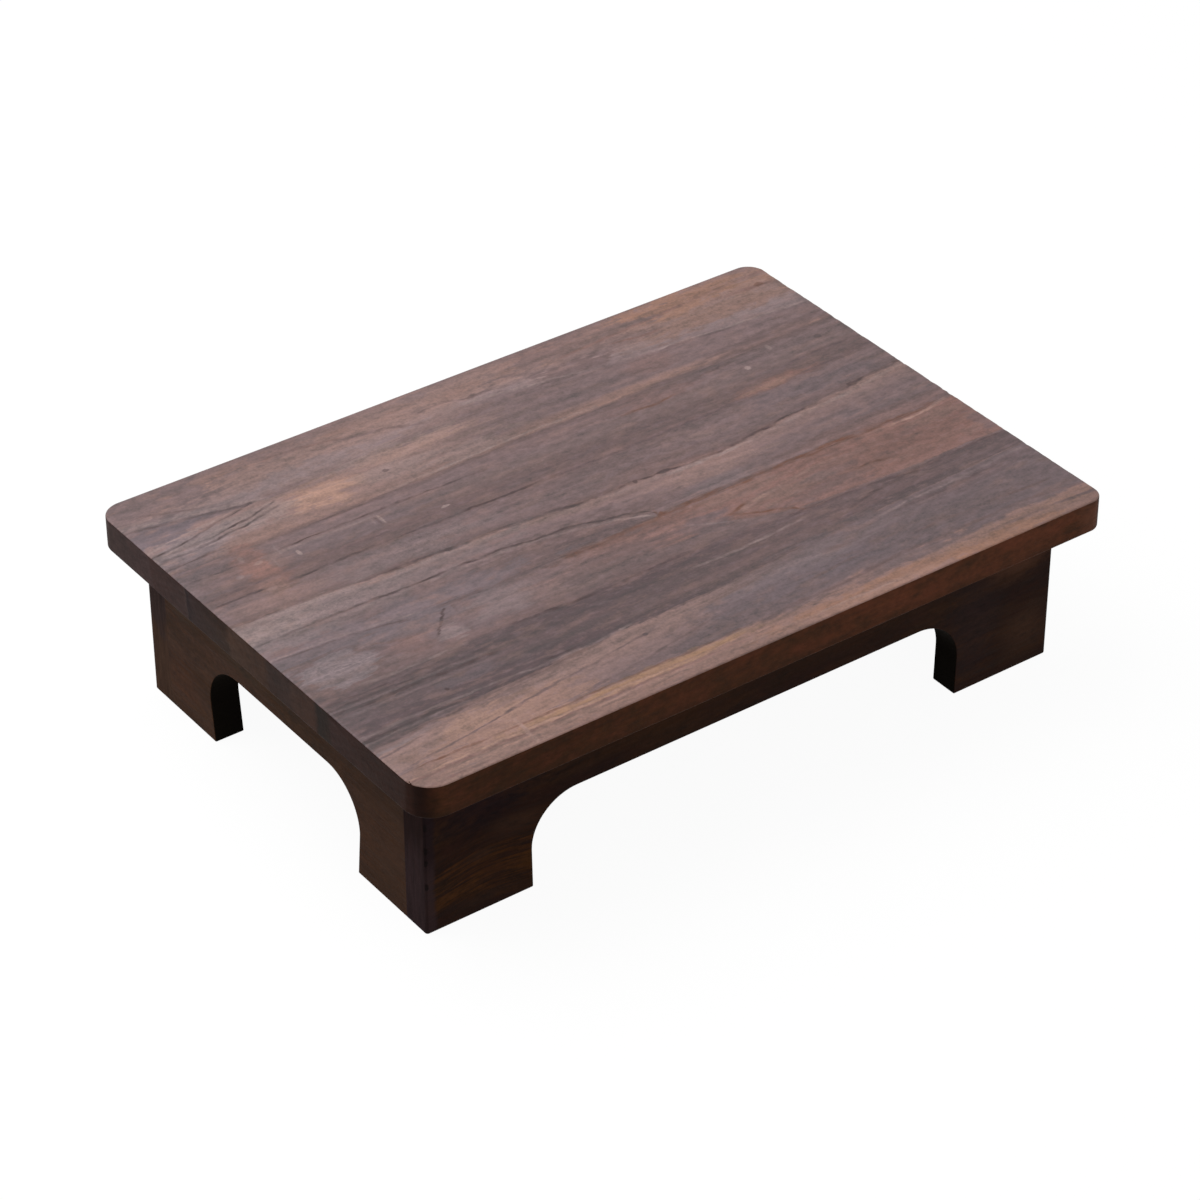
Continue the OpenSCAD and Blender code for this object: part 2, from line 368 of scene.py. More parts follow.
# The run of the growth rings over the top: a ring's number, then its course from the left end
# to the right end as (along, across) in millimetres
RINGS = [
    (0, [(0, -1), (500, -1)]),
    (20, [(0, 13), (40, 15), (100, 14), (200, 19), (330, 20), (420, 16), (500, 12)]),
    (40, [(0, 28), (45, 38), (90, 46), (130, 44), (200, 37), (250, 33), (300, 38), (395, 50),
        (480, 58), (500, 60)]),
    (60, [(0, 63), (40, 57), (78, 49), (95, 51), (130, 57), (200, 60), (300, 62), (400, 67),
        (500, 72)]),
    (85, [(0, 84), (100, 86), (250, 84.5), (385, 83.5), (500, 83)]),
    (100, [(0, 99), (180, 100), (500, 101)]),
    (130, [(0, 128), (110, 130), (235, 131), (380, 130), (440, 127), (500, 124)]),
    (160, [(0, 150), (60, 153), (105, 157), (148, 158), (190, 160), (240, 165), (305, 166),
        (345, 169), (390, 164), (455, 157), (500, 152)]),
    (180, [(0, 175), (90, 175), (160, 177), (225, 182), (257, 191), (275, 196), (320, 195),
        (500, 190)]),
    (204, [(0, 203.5), (285, 203.5), (420, 203), (480, 204.5), (500, 202)]),
    (222, [(0, 221), (110, 219), (200, 217), (270, 223), (305, 227.5), (330, 222), (380, 216),
        (500, 210)]),
    (234, [(0, 223), (110, 222), (200, 221), (270, 225), (305, 228.5), (322, 236), (345, 246),
        (400, 249.5), (500, 251)]),
    (250, [(0, 235), (12, 240), (70, 243), (137, 245), (235, 245.5), (340, 250), (400, 252.5),
        (500, 254)]),
    (270, [(0, 262), (105, 263), (250, 268), (400, 267), (500, 265)]),
    (295, [(0, 298), (75, 294), (140, 289), (250, 286), (310, 283), (380, 278), (500, 272)]),
    (310, [(0, 322.5), (15, 320.5), (80, 312), (125, 306), (190, 297), (240, 293), (300, 291),
        (400, 290), (500, 289)]),
    (318, [(0, 323.5), (70, 323), (135, 320.5), (200, 313), (240, 307), (300, 306), (345, 308),
        (400, 307), (480, 312), (500, 313)]),
    (326, [(0, 324.5), (200, 326.5), (255, 327), (345, 321), (380, 320), (440, 321), (500, 326)]),
    (334, [(0, 332), (250, 332.5), (360, 331), (420, 334), (500, 337)]),
    (348, [(0, 349), (500, 349)]),
]

# The least that the courses of two rings lie apart
LEAST_GAP = 0.5

# The tone of the wood from ring to ring
RING_TONES = [
    (0, "mauve"), (14, "tan"), (26, "rose"), (36, "ash"), (44, "mauve"), (60, "mauve"),
    (72, "mauve"), (83, "tan"), (86, "umber"), (91, "mauve"), (98, "mauve"), (106, "taupe"),
    (118, "umber"), (131, "umber"), (134, "mauve"), (152, "mauve"), (159, "umber"), (161, "rose"),
    (171, "mauve"), (181, "mauve"), (196, "mauve"), (204, "umber"), (206, "mauve"), (222, "mauve"),
    (240, "mauve"), (249, "umber"), (251, "charcoal"), (262, "charcoal"), (276, "charcoal"),
    (292, "charcoal"), (296, "rose"), (308, "rose"), (320, "mauve"), (325, "mauve"), (327, "tan"),
    (348, "tan"),
]

# How many rings before the first on a board a tone may lie and still colour it
RINGS_BEFORE = 12

# Rings whose tone changes along the board: first and last ring, where along the change starts
# and where it is complete, tone and strength
FADES = [
    (50, 83, 260, 190, "rose", 0.6),
    (161, 181, 160, 40, "ash", 0.6),
    (206, 240, 170, 300, "rust", 0.75),
    (206, 240, 150, 60, "dusk", 0.4),
    (251, 292, 300, 420, "dusk", 0.3),
    (294, 325, 200, 330, "dusk", 1.0),
]

# Half the width of the soft edge of a fade, in rings
FADE_EDGE = 1.5

# Patches of another tone: middle (along, across), half length, half width, tone and strength
PATCHES = [
    (30, 16, 50, 15, "mauve", 0.9),
    (255, 9, 46, 8, "rose", 0.4),
    (122, 8, 26, 7, "mauve", 0.6),
    (222, 8, 34, 9, "rose", 0.6),
    (278, 8, 30, 8, "rose", 0.5),
    (325, 8, 26, 8, "clay", 0.35),
    (180, 20, 95, 15, "rose", 0.6),
    (415, 13, 80, 15, "orange", 0.75),
    (372, 18, 32, 12, "tan", 0.6),
    (478, 21, 26, 8, "orange", 0.35),
    (440, 38, 85, 9, "tan", 0.9),
    (440, 35, 75, 8, "apricot", 0.5),
    (225, 6, 12, 4, "slate", 0.3),
    (342, 20, 62, 22, "mauve", 0.6),
    (325, 36, 32, 9, "umber", 0.75),
    (130, 36, 60, 9, "ash", 0.7),
    (165, 58, 100, 22, "rose", 0.6),
    (225, 37, 28, 7, "rose", 0.4),
    (175, 47, 50, 7, "pale", 0.5),
    (119, 63, 35, 14, "apricot", 0.9),
    (119, 65, 30, 10, "amber", 0.95),
    (18, 64, 40, 24, "ash", 0.6),
    (30, 66, 40, 12, "silver", 0.5),
    (75, 62, 32, 12, "pale", 0.65),
    (172, 66, 34, 8, "pale", 0.4),
    (225, 76, 38, 8, "pale", 0.5),
    (190, 52, 44, 8, "peach", 0.6),
    (215, 76, 50, 8, "rose", 0.4),
    (278, 78, 34, 6, "tan", 0.4),
    (66, 79, 28, 7, "tan", 0.6),
    (18, 80, 32, 9, "slate", 0.45),
    (318, 79, 75, 4.5, "tan", 0.7),
    (14, 45, 38, 11, "slate", 0.9),
    (15, 92, 24, 9, "charcoal", 0.3),
    (370, 62, 20, 12, "clay", 0.4),
    (460, 80, 62, 9, "umber", 0.8),
    (48, 108, 12, 34, "rust", 0.8),
    (45, 130, 9, 12, "tan", 0.7),
    (30, 106, 24, 8, "clay", 0.4),
    (8, 110, 22, 34, "dusk", 0.5),
    (120, 110, 60, 7, "slate", 0.35),
    (345, 95, 34, 10, "clay", 0.5),
    (285, 92, 60, 7, "umber", 0.5),
    (420, 125, 36, 6, "rust", 0.8),
    (418, 126, 24, 3.5, "apricot", 0.5),
    (225, 125, 140, 11, "umber", 0.35),
    (36, 123, 40, 6, "clay", 0.45),
    (130, 143, 62, 12, "ash", 0.5),
    (150, 136, 60, 7, "dusk", 0.35),
    (270, 138, 90, 8, "umber", 0.5),
    (18, 167, 40, 12, "pale", 0.65),
    (20, 181, 36, 9, "silver", 0.5),
    (280, 168, 38, 8, "umber", 0.35),
    (325, 172, 32, 8, "clay", 0.4),
    (400, 170, 50, 8, "umber", 0.3),
    (40, 142, 36, 12, "tan", 0.4),
    (345, 148, 12, 5, "rose", 0.4),
    (300, 156, 40, 6, "clay", 0.3),
    (440, 142, 50, 9, "slate", 0.4),
    (45, 163, 75, 11, "pale", 0.45),
    (110, 168, 90, 10, "ash", 0.6),
    (325, 181, 45, 10, "rose", 0.7),
    (205, 190, 66, 13, "umber", 0.8),
    (265, 192, 34, 7, "umber", 0.6),
    (228, 196, 34, 7, "charcoal", 0.5),
    (320, 194, 24, 5, "slate", 0.3),
    (325, 197, 30, 6, "ash", 0.4),
    (465, 188, 45, 9, "dusk", 0.6),
    (60, 178, 60, 8, "ash", 0.4),
    (75, 197, 110, 11, "haze", 0.6),
    (60, 211, 80, 9, "haze", 0.5),
    (440, 196, 75, 7, "clay", 0.45),
    (115, 226, 54, 11, "dusk", 0.6),
    (76, 226, 15, 11, "clay", 0.5),
    (102, 230, 9, 9, "ash", 0.9),
    (146, 221, 32, 13, "ash", 0.65),
    (190, 228, 34, 9, "rose", 0.4),
    (250, 208, 75, 4.5, "burnt", 0.4),
    (245, 212, 50, 7, "clay", 0.6),
    (225, 224, 50, 11, "umber", 0.6),
    (278, 226, 28, 10, "umber", 0.65),
    (285, 226, 20, 10, "slate", 0.35),
    (430, 211, 110, 9, "rust", 0.7),
    (440, 232, 85, 16, "rust", 0.9),
    (350, 228, 34, 7, "tan", 0.7),
    (385, 228, 24, 5, "slate", 0.25),
    (480, 214, 26, 6, "tan", 0.5),
    (325, 211, 36, 7, "tan", 0.6),
    (375, 239, 34, 7, "dusk", 0.4),
    (497, 236, 8, 14, "slate", 0.4),
    (60, 268, 75, 10, "slate", 0.35),
    (190, 253, 120, 8, "charcoal", 0.7),
    (180, 254, 95, 7, "coal", 0.75),
    (60, 267, 95, 9, "charcoal", 0.75),
    (300, 267, 110, 8, "charcoal", 0.75),
    (392, 267, 66, 8, "coal", 0.7),
    (90, 281, 105, 9, "coal", 0.95),
    (205, 280, 75, 7, "coal", 0.5),
    (445, 283, 60, 7, "charcoal", 0.4),
    (50, 297, 76, 6, "umber", 0.55),
    (125, 293, 30, 4, "umber", 0.5),
    (295, 297, 60, 6, "ash", 0.7),
    (430, 307, 50, 7, "mauve", 0.4),
    (370, 262, 130, 9, "umber", 0.55),
    (450, 257, 70, 5, "charcoal", 0.6),
    (290, 275, 110, 7, "umber", 0.8),
    (345, 283, 50, 8, "dusk", 0.8),
    (85, 270, 22, 5, "slate", 0.4),
    (45, 309, 50, 9, "rose", 0.7),
    (80, 313, 62, 14, "apricot", 0.85),
    (72, 311, 30, 7, "amber", 0.4),
    (60, 304, 26, 8, "amber", 0.5),
    (165, 297, 60, 7, "rose", 0.5),
    (290, 304, 75, 12, "slate", 0.6),
    (345, 325, 100, 8, "dusk", 0.6),
    (225, 322, 34, 8, "dusk", 0.7),
    (375, 326, 44, 6, "dusk", 0.5),
    (455, 322, 66, 9, "dusk", 0.85),
    (330, 290, 60, 6, "ash", 0.3),
    (75, 326, 70, 6, "apricot", 0.7),
    (150, 330, 95, 5, "gold", 0.6),
    (345, 339, 105, 6.5, "orange", 0.8),
    (320, 343, 70, 4, "apricot", 0.7),
    (435, 336, 66, 7, "apricot", 0.75),
    (90, 338, 90, 7, "apricot", 0.45),
    (420, 342, 50, 6, "orange", 0.85),
    (50, 342, 60, 6, "peach", 0.4),
]

# Where a patch starts to thin out, and where it ends: 1 is the edge of its oval
PATCH_WHOLE = 0.6
PATCH_END = 1.12

# Lines in the figure: half width, tone, then points (along, across, strength)
LINES = [
    (1.6, "umber", [(20, 20, 0.7), (50, 33, 0.6), (80, 46, 0.4)]),
    (2.0, "pale", [(0, 27, 0.3), (30, 33, 0.6), (60, 40, 0.6), (90, 47, 0.5)]),
    (1.6, "charcoal", [(0, 31, 0.8), (40, 39, 0.7), (78, 47, 0.8)]),
    (1.3, "soot", [(0, 63, 0.8), (30, 59, 0.7), (50, 53, 0.3), (78, 47, 0.8)]),
    (1.6, "pale", [(0, 57, 0.3), (30, 53, 0.6), (60, 49, 0.3)]),
    (1.6, "pale", [(0, 66, 0.6), (35, 61, 0.6), (60, 58, 0.4)]),
    (1.3, "soot", [(40, 65, 0.2), (55, 62, 0.6), (72, 59, 0.8), (90, 53, 0.5)]),
    (1.5, "soot", [(0, 71, 0.5), (30, 70, 0.4), (45, 68, 0.7), (60, 66, 0.7), (90, 59, 0.4)]),
    (1.2, "soot", [(0, 79, 0.4), (16, 79, 0.7), (34, 78, 0.3)]),
    (1.6, "umber", [(93, 46, 0.6), (125, 45, 0.5), (150, 45, 0.3)]),
    (1.8, "clay", [(110, 11, 0.3), (140, 13, 0.6), (165, 18, 0.5)]),
    (1.8, "umber", [(160, 20, 0.5), (185, 24, 0.7), (212, 33, 0.7)]),
    (1.6, "umber", [(220, 22, 0.6), (235, 21, 0.5), (257, 27, 0.9), (275, 26, 0.3)]),
    (1.8, "clay", [(330, 21, 0.5), (362, 20, 0.9), (420, 16, 0.7), (460, 14, 0.4), (500, 12, 0.7)]),
    (1.6, "clay", [(365, 28, 0.4), (378, 30, 0.9), (400, 31, 0.5)]),
    (1.8, "clay", [(450, 23, 0.3), (486, 25, 0.9), (500, 26, 0.5)]),
    (1.6, "pale", [(250, 31, 0.5), (300, 38, 0.4), (350, 46, 0.1), (395, 51, 0.6), (440, 55, 0.5),
        (485, 58, 0.6), (500, 60, 0.2)]),
    (1.5, "charcoal", [(388, 52, 0.5), (402, 53, 0.8), (440, 57, 0.2)]),
    (1.4, "pale", [(150, 84, 0.2), (206, 83, 0.6), (250, 82, 0.5), (310, 81, 0.4)]),
    (1.5, "soot", [(98, 87, 0.2), (125, 88, 0.5), (146, 89, 0.3)]),
    (1.2, "soot", [(8, 99, 0.5), (34, 99, 0.5), (42, 99, 0.1), (68, 99, 0.2), (74, 99, 0.9),
        (90, 99, 0.9), (105, 99, 0.4), (130, 99, 0.6), (190, 99.5, 0.6), (215, 100, 0.2)]),
    (1.4, "pale", [(60, 102, 0.15), (90, 102.5, 0.3), (130, 102.5, 0.15)]),
    (1.6, "charcoal", [(0, 120, 0.6), (30, 120, 0.8), (60, 120, 0.5), (110, 121, 0.8),
        (140, 121, 0.5), (220, 122, 0.7), (300, 121, 0.4), (340, 120, 0.6)]),
    (1.4, "soot", [(4, 128, 0.2), (14, 128.5, 0.9), (34, 128.5, 0.9), (40, 129, 0.1),
        (60, 129.5, 0.3), (68, 130, 0.9), (78, 130, 0.3), (98, 129.5, 0.9), (110, 129.5, 0.8),
        (118, 130, 0.3), (150, 129.5, 0.9), (165, 130.5, 0.4), (182, 130, 0.8), (210, 131, 1.0),
        (235, 131, 0.6), (250, 131, 0.4)]),
    (1.6, "charcoal", [(250, 132, 0.8), (290, 132, 0.7), (330, 131.5, 0.8), (376, 130.5, 0.9),
        (384, 130, 0.2)]),
    (1.5, "charcoal", [(436, 127, 0.4), (460, 126, 0.8), (500, 124, 1.0)]),
    (1.5, "charcoal", [(436, 115, 0.5), (442, 114, 1.0), (470, 113, 0.7), (500, 113, 0.6)]),
    (1.4, "soot", [(376, 94, 0.3), (381, 93, 0.8), (390, 91.5, 0.4), (408, 91, 0.6),
        (414, 91, 0.1)]),
    (1.6, "burnt", [(320, 101, 0.3), (343, 102, 0.7), (360, 100, 0.2)]),
    (1.7, "soot", [(0, 150, 0.4), (30, 152, 0.5), (60, 153, 0.3), (105, 156, 0.6), (120, 156.5, 0.8),
        (140, 157, 0.7), (148, 158, 1.0), (156, 159, 0.4), (192, 160, 0.7), (198, 161, 0.2),
        (222, 162, 0.5), (236, 164, 0.9), (250, 165, 0.5), (275, 165, 0.5), (281, 165, 1.0),
        (292, 166, 0.7), (302, 166, 1.0), (312, 168, 0.7), (330, 169, 0.4), (350, 168, 0.7),
        (372, 165, 0.6), (387, 164, 1.0), (398, 162, 0.8), (405, 162, 0.5), (412, 161, 1.0),
        (418, 161, 0.4), (440, 160, 0.3), (452, 158, 0.6), (460, 156, 0.9), (475, 154, 0.4),
        (500, 152, 0.6)]),
    (2.2, "pale", [(0, 153.5, 0.6), (60, 156, 0.6), (110, 160, 0.4), (150, 161.5, 0.4),
        (240, 168, 0.2), (300, 170, 0.4), (350, 171.5, 0.9), (358, 171, 0.3), (425, 164, 0.3),
        (445, 163, 0.7), (455, 162, 0.3), (500, 155.5, 0.5)]),
    (1.3, "soot", [(0, 175, 0.3), (40, 175, 0.5), (80, 175, 0.6), (92, 176, 0.9), (118, 176.5, 0.9),
        (140, 176, 0.5), (158, 177, 0.8), (172, 177.5, 0.6), (188, 180, 0.9), (205, 181, 0.7),
        (225, 182, 0.9), (240, 187, 0.7), (257, 191, 0.9), (268, 196, 0.9), (272, 204, 0.7)]),
    (1.5, "pale", [(0, 177.5, 0.2), (90, 178.5, 0.3), (180, 180.5, 0.3), (240, 190, 0.4),
        (255, 194.5, 0.8), (266, 200, 0.9), (270, 204, 0.6)]),
    (1.4, "charcoal", [(0, 194, 0.5), (20, 195, 0.6), (50, 197, 0.6), (70, 200, 0.8),
        (86, 204, 0.8)]),
    (1.3, "pale", [(0, 192, 0.4), (30, 193, 0.3), (75, 198, 0.3), (95, 202, 0.4)]),
    (1.6, "charcoal", [(112, 204, 0.6), (130, 204.5, 0.8), (150, 205, 0.3), (190, 204, 0.5)]),
    (2.5, "burnt", [(200, 206, 0.5), (212, 206.5, 0.9), (222, 207, 0.8), (233, 206, 0.6),
        (250, 205, 0.8), (262, 206, 0.4), (273, 203.5, 1.0), (283, 204, 0.8), (300, 203, 1.0),
        (312, 203, 0.6), (335, 204, 0.9), (345, 203, 0.5), (360, 203, 0.8), (374, 202.5, 0.9),
        (385, 204, 0.8), (398, 203, 0.9), (418, 204, 0.9), (426, 205, 0.2), (434, 204, 0.6),
        (460, 204, 0.6), (474, 205, 0.5), (485, 203, 0.3)]),
    (1.3, "peach", [(425, 207, 0.1), (455, 207, 0.5), (478, 206.5, 0.8), (492, 203.5, 0.6)]),
    (1.5, "clay", [(60, 213, 0.4), (78, 220, 0.4), (92, 222, 0.4)]),
    (1.8, "burnt", [(304, 228, 0.6), (312, 227, 0.9), (320, 224.5, 0.5)]),
    (2.2, "clay", [(322, 219, 0.8), (332, 219, 1.0), (342, 218, 0.4)]),
    (1.8, "burnt", [(308, 230, 0.5), (318, 234, 0.7), (324, 237.5, 0.8), (334, 241, 0.5),
        (341, 246, 0.8), (345, 250, 0.5)]),
    (2.0, "peach", [(314, 229, 0.3), (330, 225, 0.6), (352, 221, 0.5), (385, 217, 0.3),
        (400, 216, 0.1)]),
    (1.4, "ash", [(280, 224, 0.4), (292, 230, 0.5), (305, 235, 0.4), (318, 240, 0.2)]),
    (1.3, "burnt", [(398, 234, 0.4), (408, 234, 0.9), (421, 236, 0.7)]),
    (1.6, "umber", [(130, 238, 0.6), (158, 237, 0.6), (180, 240, 0.3), (235, 241, 0.5),
        (250, 239, 0.5)]),
    (1.8, "soot", [(136, 244, 0.6), (142, 244.5, 0.9), (160, 245.5, 0.9), (176, 246, 0.9),
        (200, 247, 0.5), (235, 246, 0.7), (260, 246, 0.3)]),
    (1.6, "pale", [(30, 241, 0.2), (60, 243, 0.4), (100, 244, 0.3)]),
    (2.2, "soot", [(336, 250, 0.3), (350, 251, 0.5), (385, 252, 0.3), (405, 254, 0.5),
        (425, 256, 0.7), (440, 255, 0.5), (500, 254.5, 0.4)]),
    (1.2, "soot", [(0, 247, 0.4), (40, 249, 0.5), (80, 250, 0.3)]),
    (1.2, "soot", [(0, 252, 0.6), (40, 253, 0.7), (70, 254, 0.5), (110, 254, 0.3)]),
    (1.1, "ash", [(0, 254.5, 0.3), (40, 256, 0.35), (105, 257, 0.25)]),
    (1.8, "soot", [(0, 256.5, 0.8), (30, 258.5, 1.0), (70, 259.5, 0.9), (104, 260, 0.9),
        (112, 260, 0.2)]),
    (1.3, "ash", [(0, 262, 0.2), (40, 264, 0.3), (80, 264, 0.25), (110, 264, 0.1)]),
    (1.6, "charcoal", [(110, 268, 0.4), (170, 269, 0.6), (260, 270, 0.8), (300, 268, 0.7),
        (330, 266, 0.4)]),
    (1.4, "umber", [(60, 279, 0.3), (105, 278, 0.7), (140, 281, 0.6)]),
    (1.3, "soot", [(130, 283, 0.3), (143, 284, 1.0), (150, 284, 0.8), (158, 284, 0.2)]),
    (1.3, "pale", [(0, 284.5, 0.3), (50, 284, 0.3), (100, 284.5, 0.3), (150, 287, 0.5),
        (176, 286, 0.6), (190, 284, 0.2)]),
    (1.7, "soot", [(0, 288, 0.8), (10, 288, 0.9), (55, 288, 0.7), (120, 289, 0.5),
        (150, 289, 0.2)]),
    (1.1, "ash", [(0, 290.5, 0.4), (40, 290, 0.4), (70, 290, 0.2)]),
    (1.8, "soot", [(0, 295, 0.3), (40, 295.5, 0.4), (80, 293, 0.4), (130, 291, 0.4),
        (170, 288, 0.3)]),
    (2.0, "ash", [(0, 302, 0.8), (20, 300, 0.7), (45, 297, 0.3)]),
    (1.2, "charcoal", [(0, 306, 0.7), (15, 304, 0.6), (30, 301.5, 0.3)]),
    (1.5, "pale", [(250, 259, 0.1), (285, 260.5, 0.5), (320, 259, 0.4), (345, 257, 0.1)]),
    (1.7, "soot", [(368, 266, 0.1), (378, 263, 0.5), (400, 259, 0.5), (415, 258, 0.4)]),
    (1.6, "ash", [(378, 282, 0.4), (395, 281, 0.7), (430, 279, 0.7), (460, 277.5, 0.5),
        (492, 276, 0.4)]),
    (1.4, "charcoal", [(385, 284, 0.3), (412, 283.5, 0.9), (440, 283, 1.0), (455, 281.5, 0.6),
        (470, 280.5, 0.4)]),
    (1.1, "umber", [(15, 321, 0.7), (40, 317.5, 0.8), (80, 312, 0.9), (105, 308.5, 0.8),
        (125, 306, 0.9), (150, 303, 0.5), (172, 299, 0.7), (190, 297, 0.9), (198, 296, 0.1)]),
    (1.2, "umber", [(134, 321, 0.9), (142, 320, 0.9), (165, 318, 0.5), (200, 313, 0.8),
        (225, 309, 0.5), (240, 306.5, 0.4)]),
    (1.6, "umber", [(288, 312, 0.3), (310, 309.5, 0.6), (345, 308, 0.7), (352, 308, 0.1)]),
    (1.4, "charcoal", [(382, 309, 0.4), (390, 308, 0.9), (398, 308, 0.7), (404, 308, 0.1)]),
    (1.4, "umber", [(408, 309, 0.5), (440, 309, 0.7), (480, 312, 0.9), (486, 312, 0.3)]),
    (1.7, "umber", [(254, 328, 0.6), (262, 326.5, 0.9), (288, 324.5, 0.9), (305, 325, 0.8),
        (345, 321.5, 0.9), (365, 320.5, 1.0), (385, 321, 0.7), (440, 321, 0.8), (470, 323, 0.7),
        (500, 327, 1.0)]),
    (1.8, "umber", [(395, 332, 0.3), (435, 334.5, 0.6), (470, 336, 0.7), (500, 337.5, 1.0)]),
    (1.3, "burnt", [(14, 325, 0.5), (20, 325, 0.8), (55, 325, 0.7), (62, 325, 0.2), (84, 325, 0.6),
        (120, 325, 0.6), (170, 326, 0.5), (235, 326.5, 0.3)]),
    (2.6, "gold", [(84, 328, 0.4), (120, 328, 0.8), (170, 329, 0.9), (235, 330, 0.6)]),
    (1.3, "amber", [(0, 331.5, 0.5), (40, 331, 0.7), (66, 331, 0.6), (90, 331.5, 0.8),
        (150, 331.5, 0.7), (200, 332, 0.4)]),
    (1.2, "clay", [(0, 333.5, 0.9), (60, 333.5, 0.9), (120, 334, 0.9), (180, 335, 0.7),
        (230, 336, 0.4)]),
    (1.1, "clay", [(14, 341, 0.7), (50, 342, 0.6), (75, 342, 0.4), (120, 343, 0.3)]),
    (1.2, "peach", [(14, 346, 0.3), (120, 338, 0.3), (260, 339, 0.5), (310, 340, 0.9),
        (350, 341, 0.5)]),
]

# How long a line takes to fade out at an end, and how far past a joint it may run and still be
# drawn on the board
LINE_FADE = 4.0
LINE_MARGIN = 2.0

# Fields of fine parallel lines: middle (along, across), half length, half width, pitch, strength
RIPPLES = [
    (30, 66, 52, 11, 4.4, 0.10),
    (60, 120, 95, 13, 5.4, 0.08),
    (50, 256, 85, 11, 4.1, 0.16),
    (60, 288, 105, 8, 3.4, 0.16),
    (115, 334, 150, 9, 4.2, 0.2),
]

# Where the grain curls: middle (along, across), half length, half width and strength
CURLS = [
    (148, 144, 42, 13, 0.11),
    (62, 168, 34, 9, 0.11),
]

# The grey knot near the left end: middle (along, across), half length and half width
KNOT = (29.5, 223.0, 26.0, 17.0)

# Short strokes across the grain: two ends (along, across), half width, tone and strength
STROKES = [
    ((93, 229), (112, 206), 1.2, "soot", 0.75),
    ((112.5, 236), (113.5, 221), 1.6, "umber", 0.6),
    ((113.5, 223), (118, 206), 1.4, "umber", 0.6),
    ((82.5, 318), (80.5, 347), 1.7, "peach", 0.8),
    ((131.2, 103), (131.7, 113), 0.9, "charcoal", 0.6),
    ((134.3, 102), (134.3, 113), 0.8, "pale", 0.5),
    ((66, 93), (66, 104), 0.9, "ash", 0.6),
    ((59, 104), (58, 114), 0.9, "ash", 0.4),
    ((271, 196), (271, 205), 1.2, "burnt", 0.6),
]

# Small marks: middle (along, across), half length, half width, tone and strength
MARKS = [
    (257, 26, 3.5, 2.6, "umber", 0.8),
    (487, 24, 4, 2.2, "burnt", 0.7),
    (166, 65, 2.6, 1.8, "umber", 0.9),
    (120, 58, 5, 1.6, "peach", 0.8),
    (477, 98, 3, 3, "charcoal", 0.9),
    (443, 91, 2, 4, "pale", 0.6),
    (417, 103, 2.4, 2, "pale", 0.9),
    (75, 109, 1.6, 2.6, "pale", 0.9),
    (33, 110, 3, 2, "ash", 0.7),
    (134, 107, 1.4, 5, "pale", 0.6),
    (128.5, 106, 1.2, 5, "ash", 0.5),
    (131.5, 108, 1.2, 5, "charcoal", 0.5),
    (173, 118.5, 3.6, 1.1, "pale", 0.9),
    (43, 95, 1.8, 4, "rose", 0.9),
    (50, 104, 4, 1.6, "rose", 0.9),
    (42, 131, 4, 2, "rose", 0.7),
    (336, 152, 4, 3, "charcoal", 0.5),
    (421, 156, 4, 2.6, "charcoal", 0.6),
    (458, 156, 4, 2.4, "soot", 0.7),
    (302, 166.5, 5, 2.2, "soot", 0.8),
    (281, 165.5, 2, 1.8, "soot", 0.8),
    (148, 158, 2.6, 1.8, "soot", 0.8),
    (273, 203, 2.2, 3, "burnt", 0.9),
    (68, 273, 1.6, 1.4, "soot", 1.0),
    (145, 284, 3.6, 1.3, "soot", 0.8),
    (190, 297, 1.8, 1.2, "charcoal", 0.9),
    (427, 258, 6, 2, "soot", 0.5),
]


def reaches_board(oval, low, high):
    """Whether an oval of the figure reaches the board that lies from low to high."""
    return low - oval[3] < oval[1] < high + oval[3]


def crosses_board(points, low, high, margin=0.0):
    """Whether points (along, across) come onto the board that lies from low to high."""
    across = [point[1] for point in points]
    return max(across) > low - margin and min(across) < high + margin


def ring_number(finish, along_share, across_share, low, high):
    """The ring at a point of the board from low to high, and the first and last ring drawn on it."""
    nearby = [i for i, (number, course) in enumerate(RINGS) if crosses_board(course, low, high)]
    first, last = max(nearby[0] - 1, 0), min(nearby[-1] + 1, len(RINGS) - 1)
    upper = finish.along_course(along_share, RINGS[first][1])
    ring = RINGS[first][0]
    for i in range(first, last):
        lower = finish.along_course(along_share, RINGS[i + 1][1])
        lower = finish.math("MAXIMUM", lower, upper + LEAST_GAP / FULL_WIDTH)
        ring = ring + finish.line(across_share, upper, lower, 0.0, float(RINGS[i + 1][0] - RINGS[i][0]))
        upper = lower
    return ring, RINGS[first][0], RINGS[last][0]


def out_from(finish, spot, oval):
    """How far a spot lies from the middle of an oval, where 1 is the oval's edge."""
    along, across, half_length, half_width = oval
    shares = finish.vector_math("MULTIPLY_ADD", spot, (1 / half_length, 1 / half_width, 0.0),
                                (-along / half_length, -across / half_width, 0.0))
    return finish.vector_math("LENGTH", shares, out="Value")


def patch(finish, spot, oval, ragged, strength, whole=PATCH_WHOLE):
    """The strength at the middle of an oval, and nothing outside it, with a ragged edge."""
    return finish.rise(out_from(finish, spot, oval) + ragged, whole, PATCH_END, strength, 0.0)


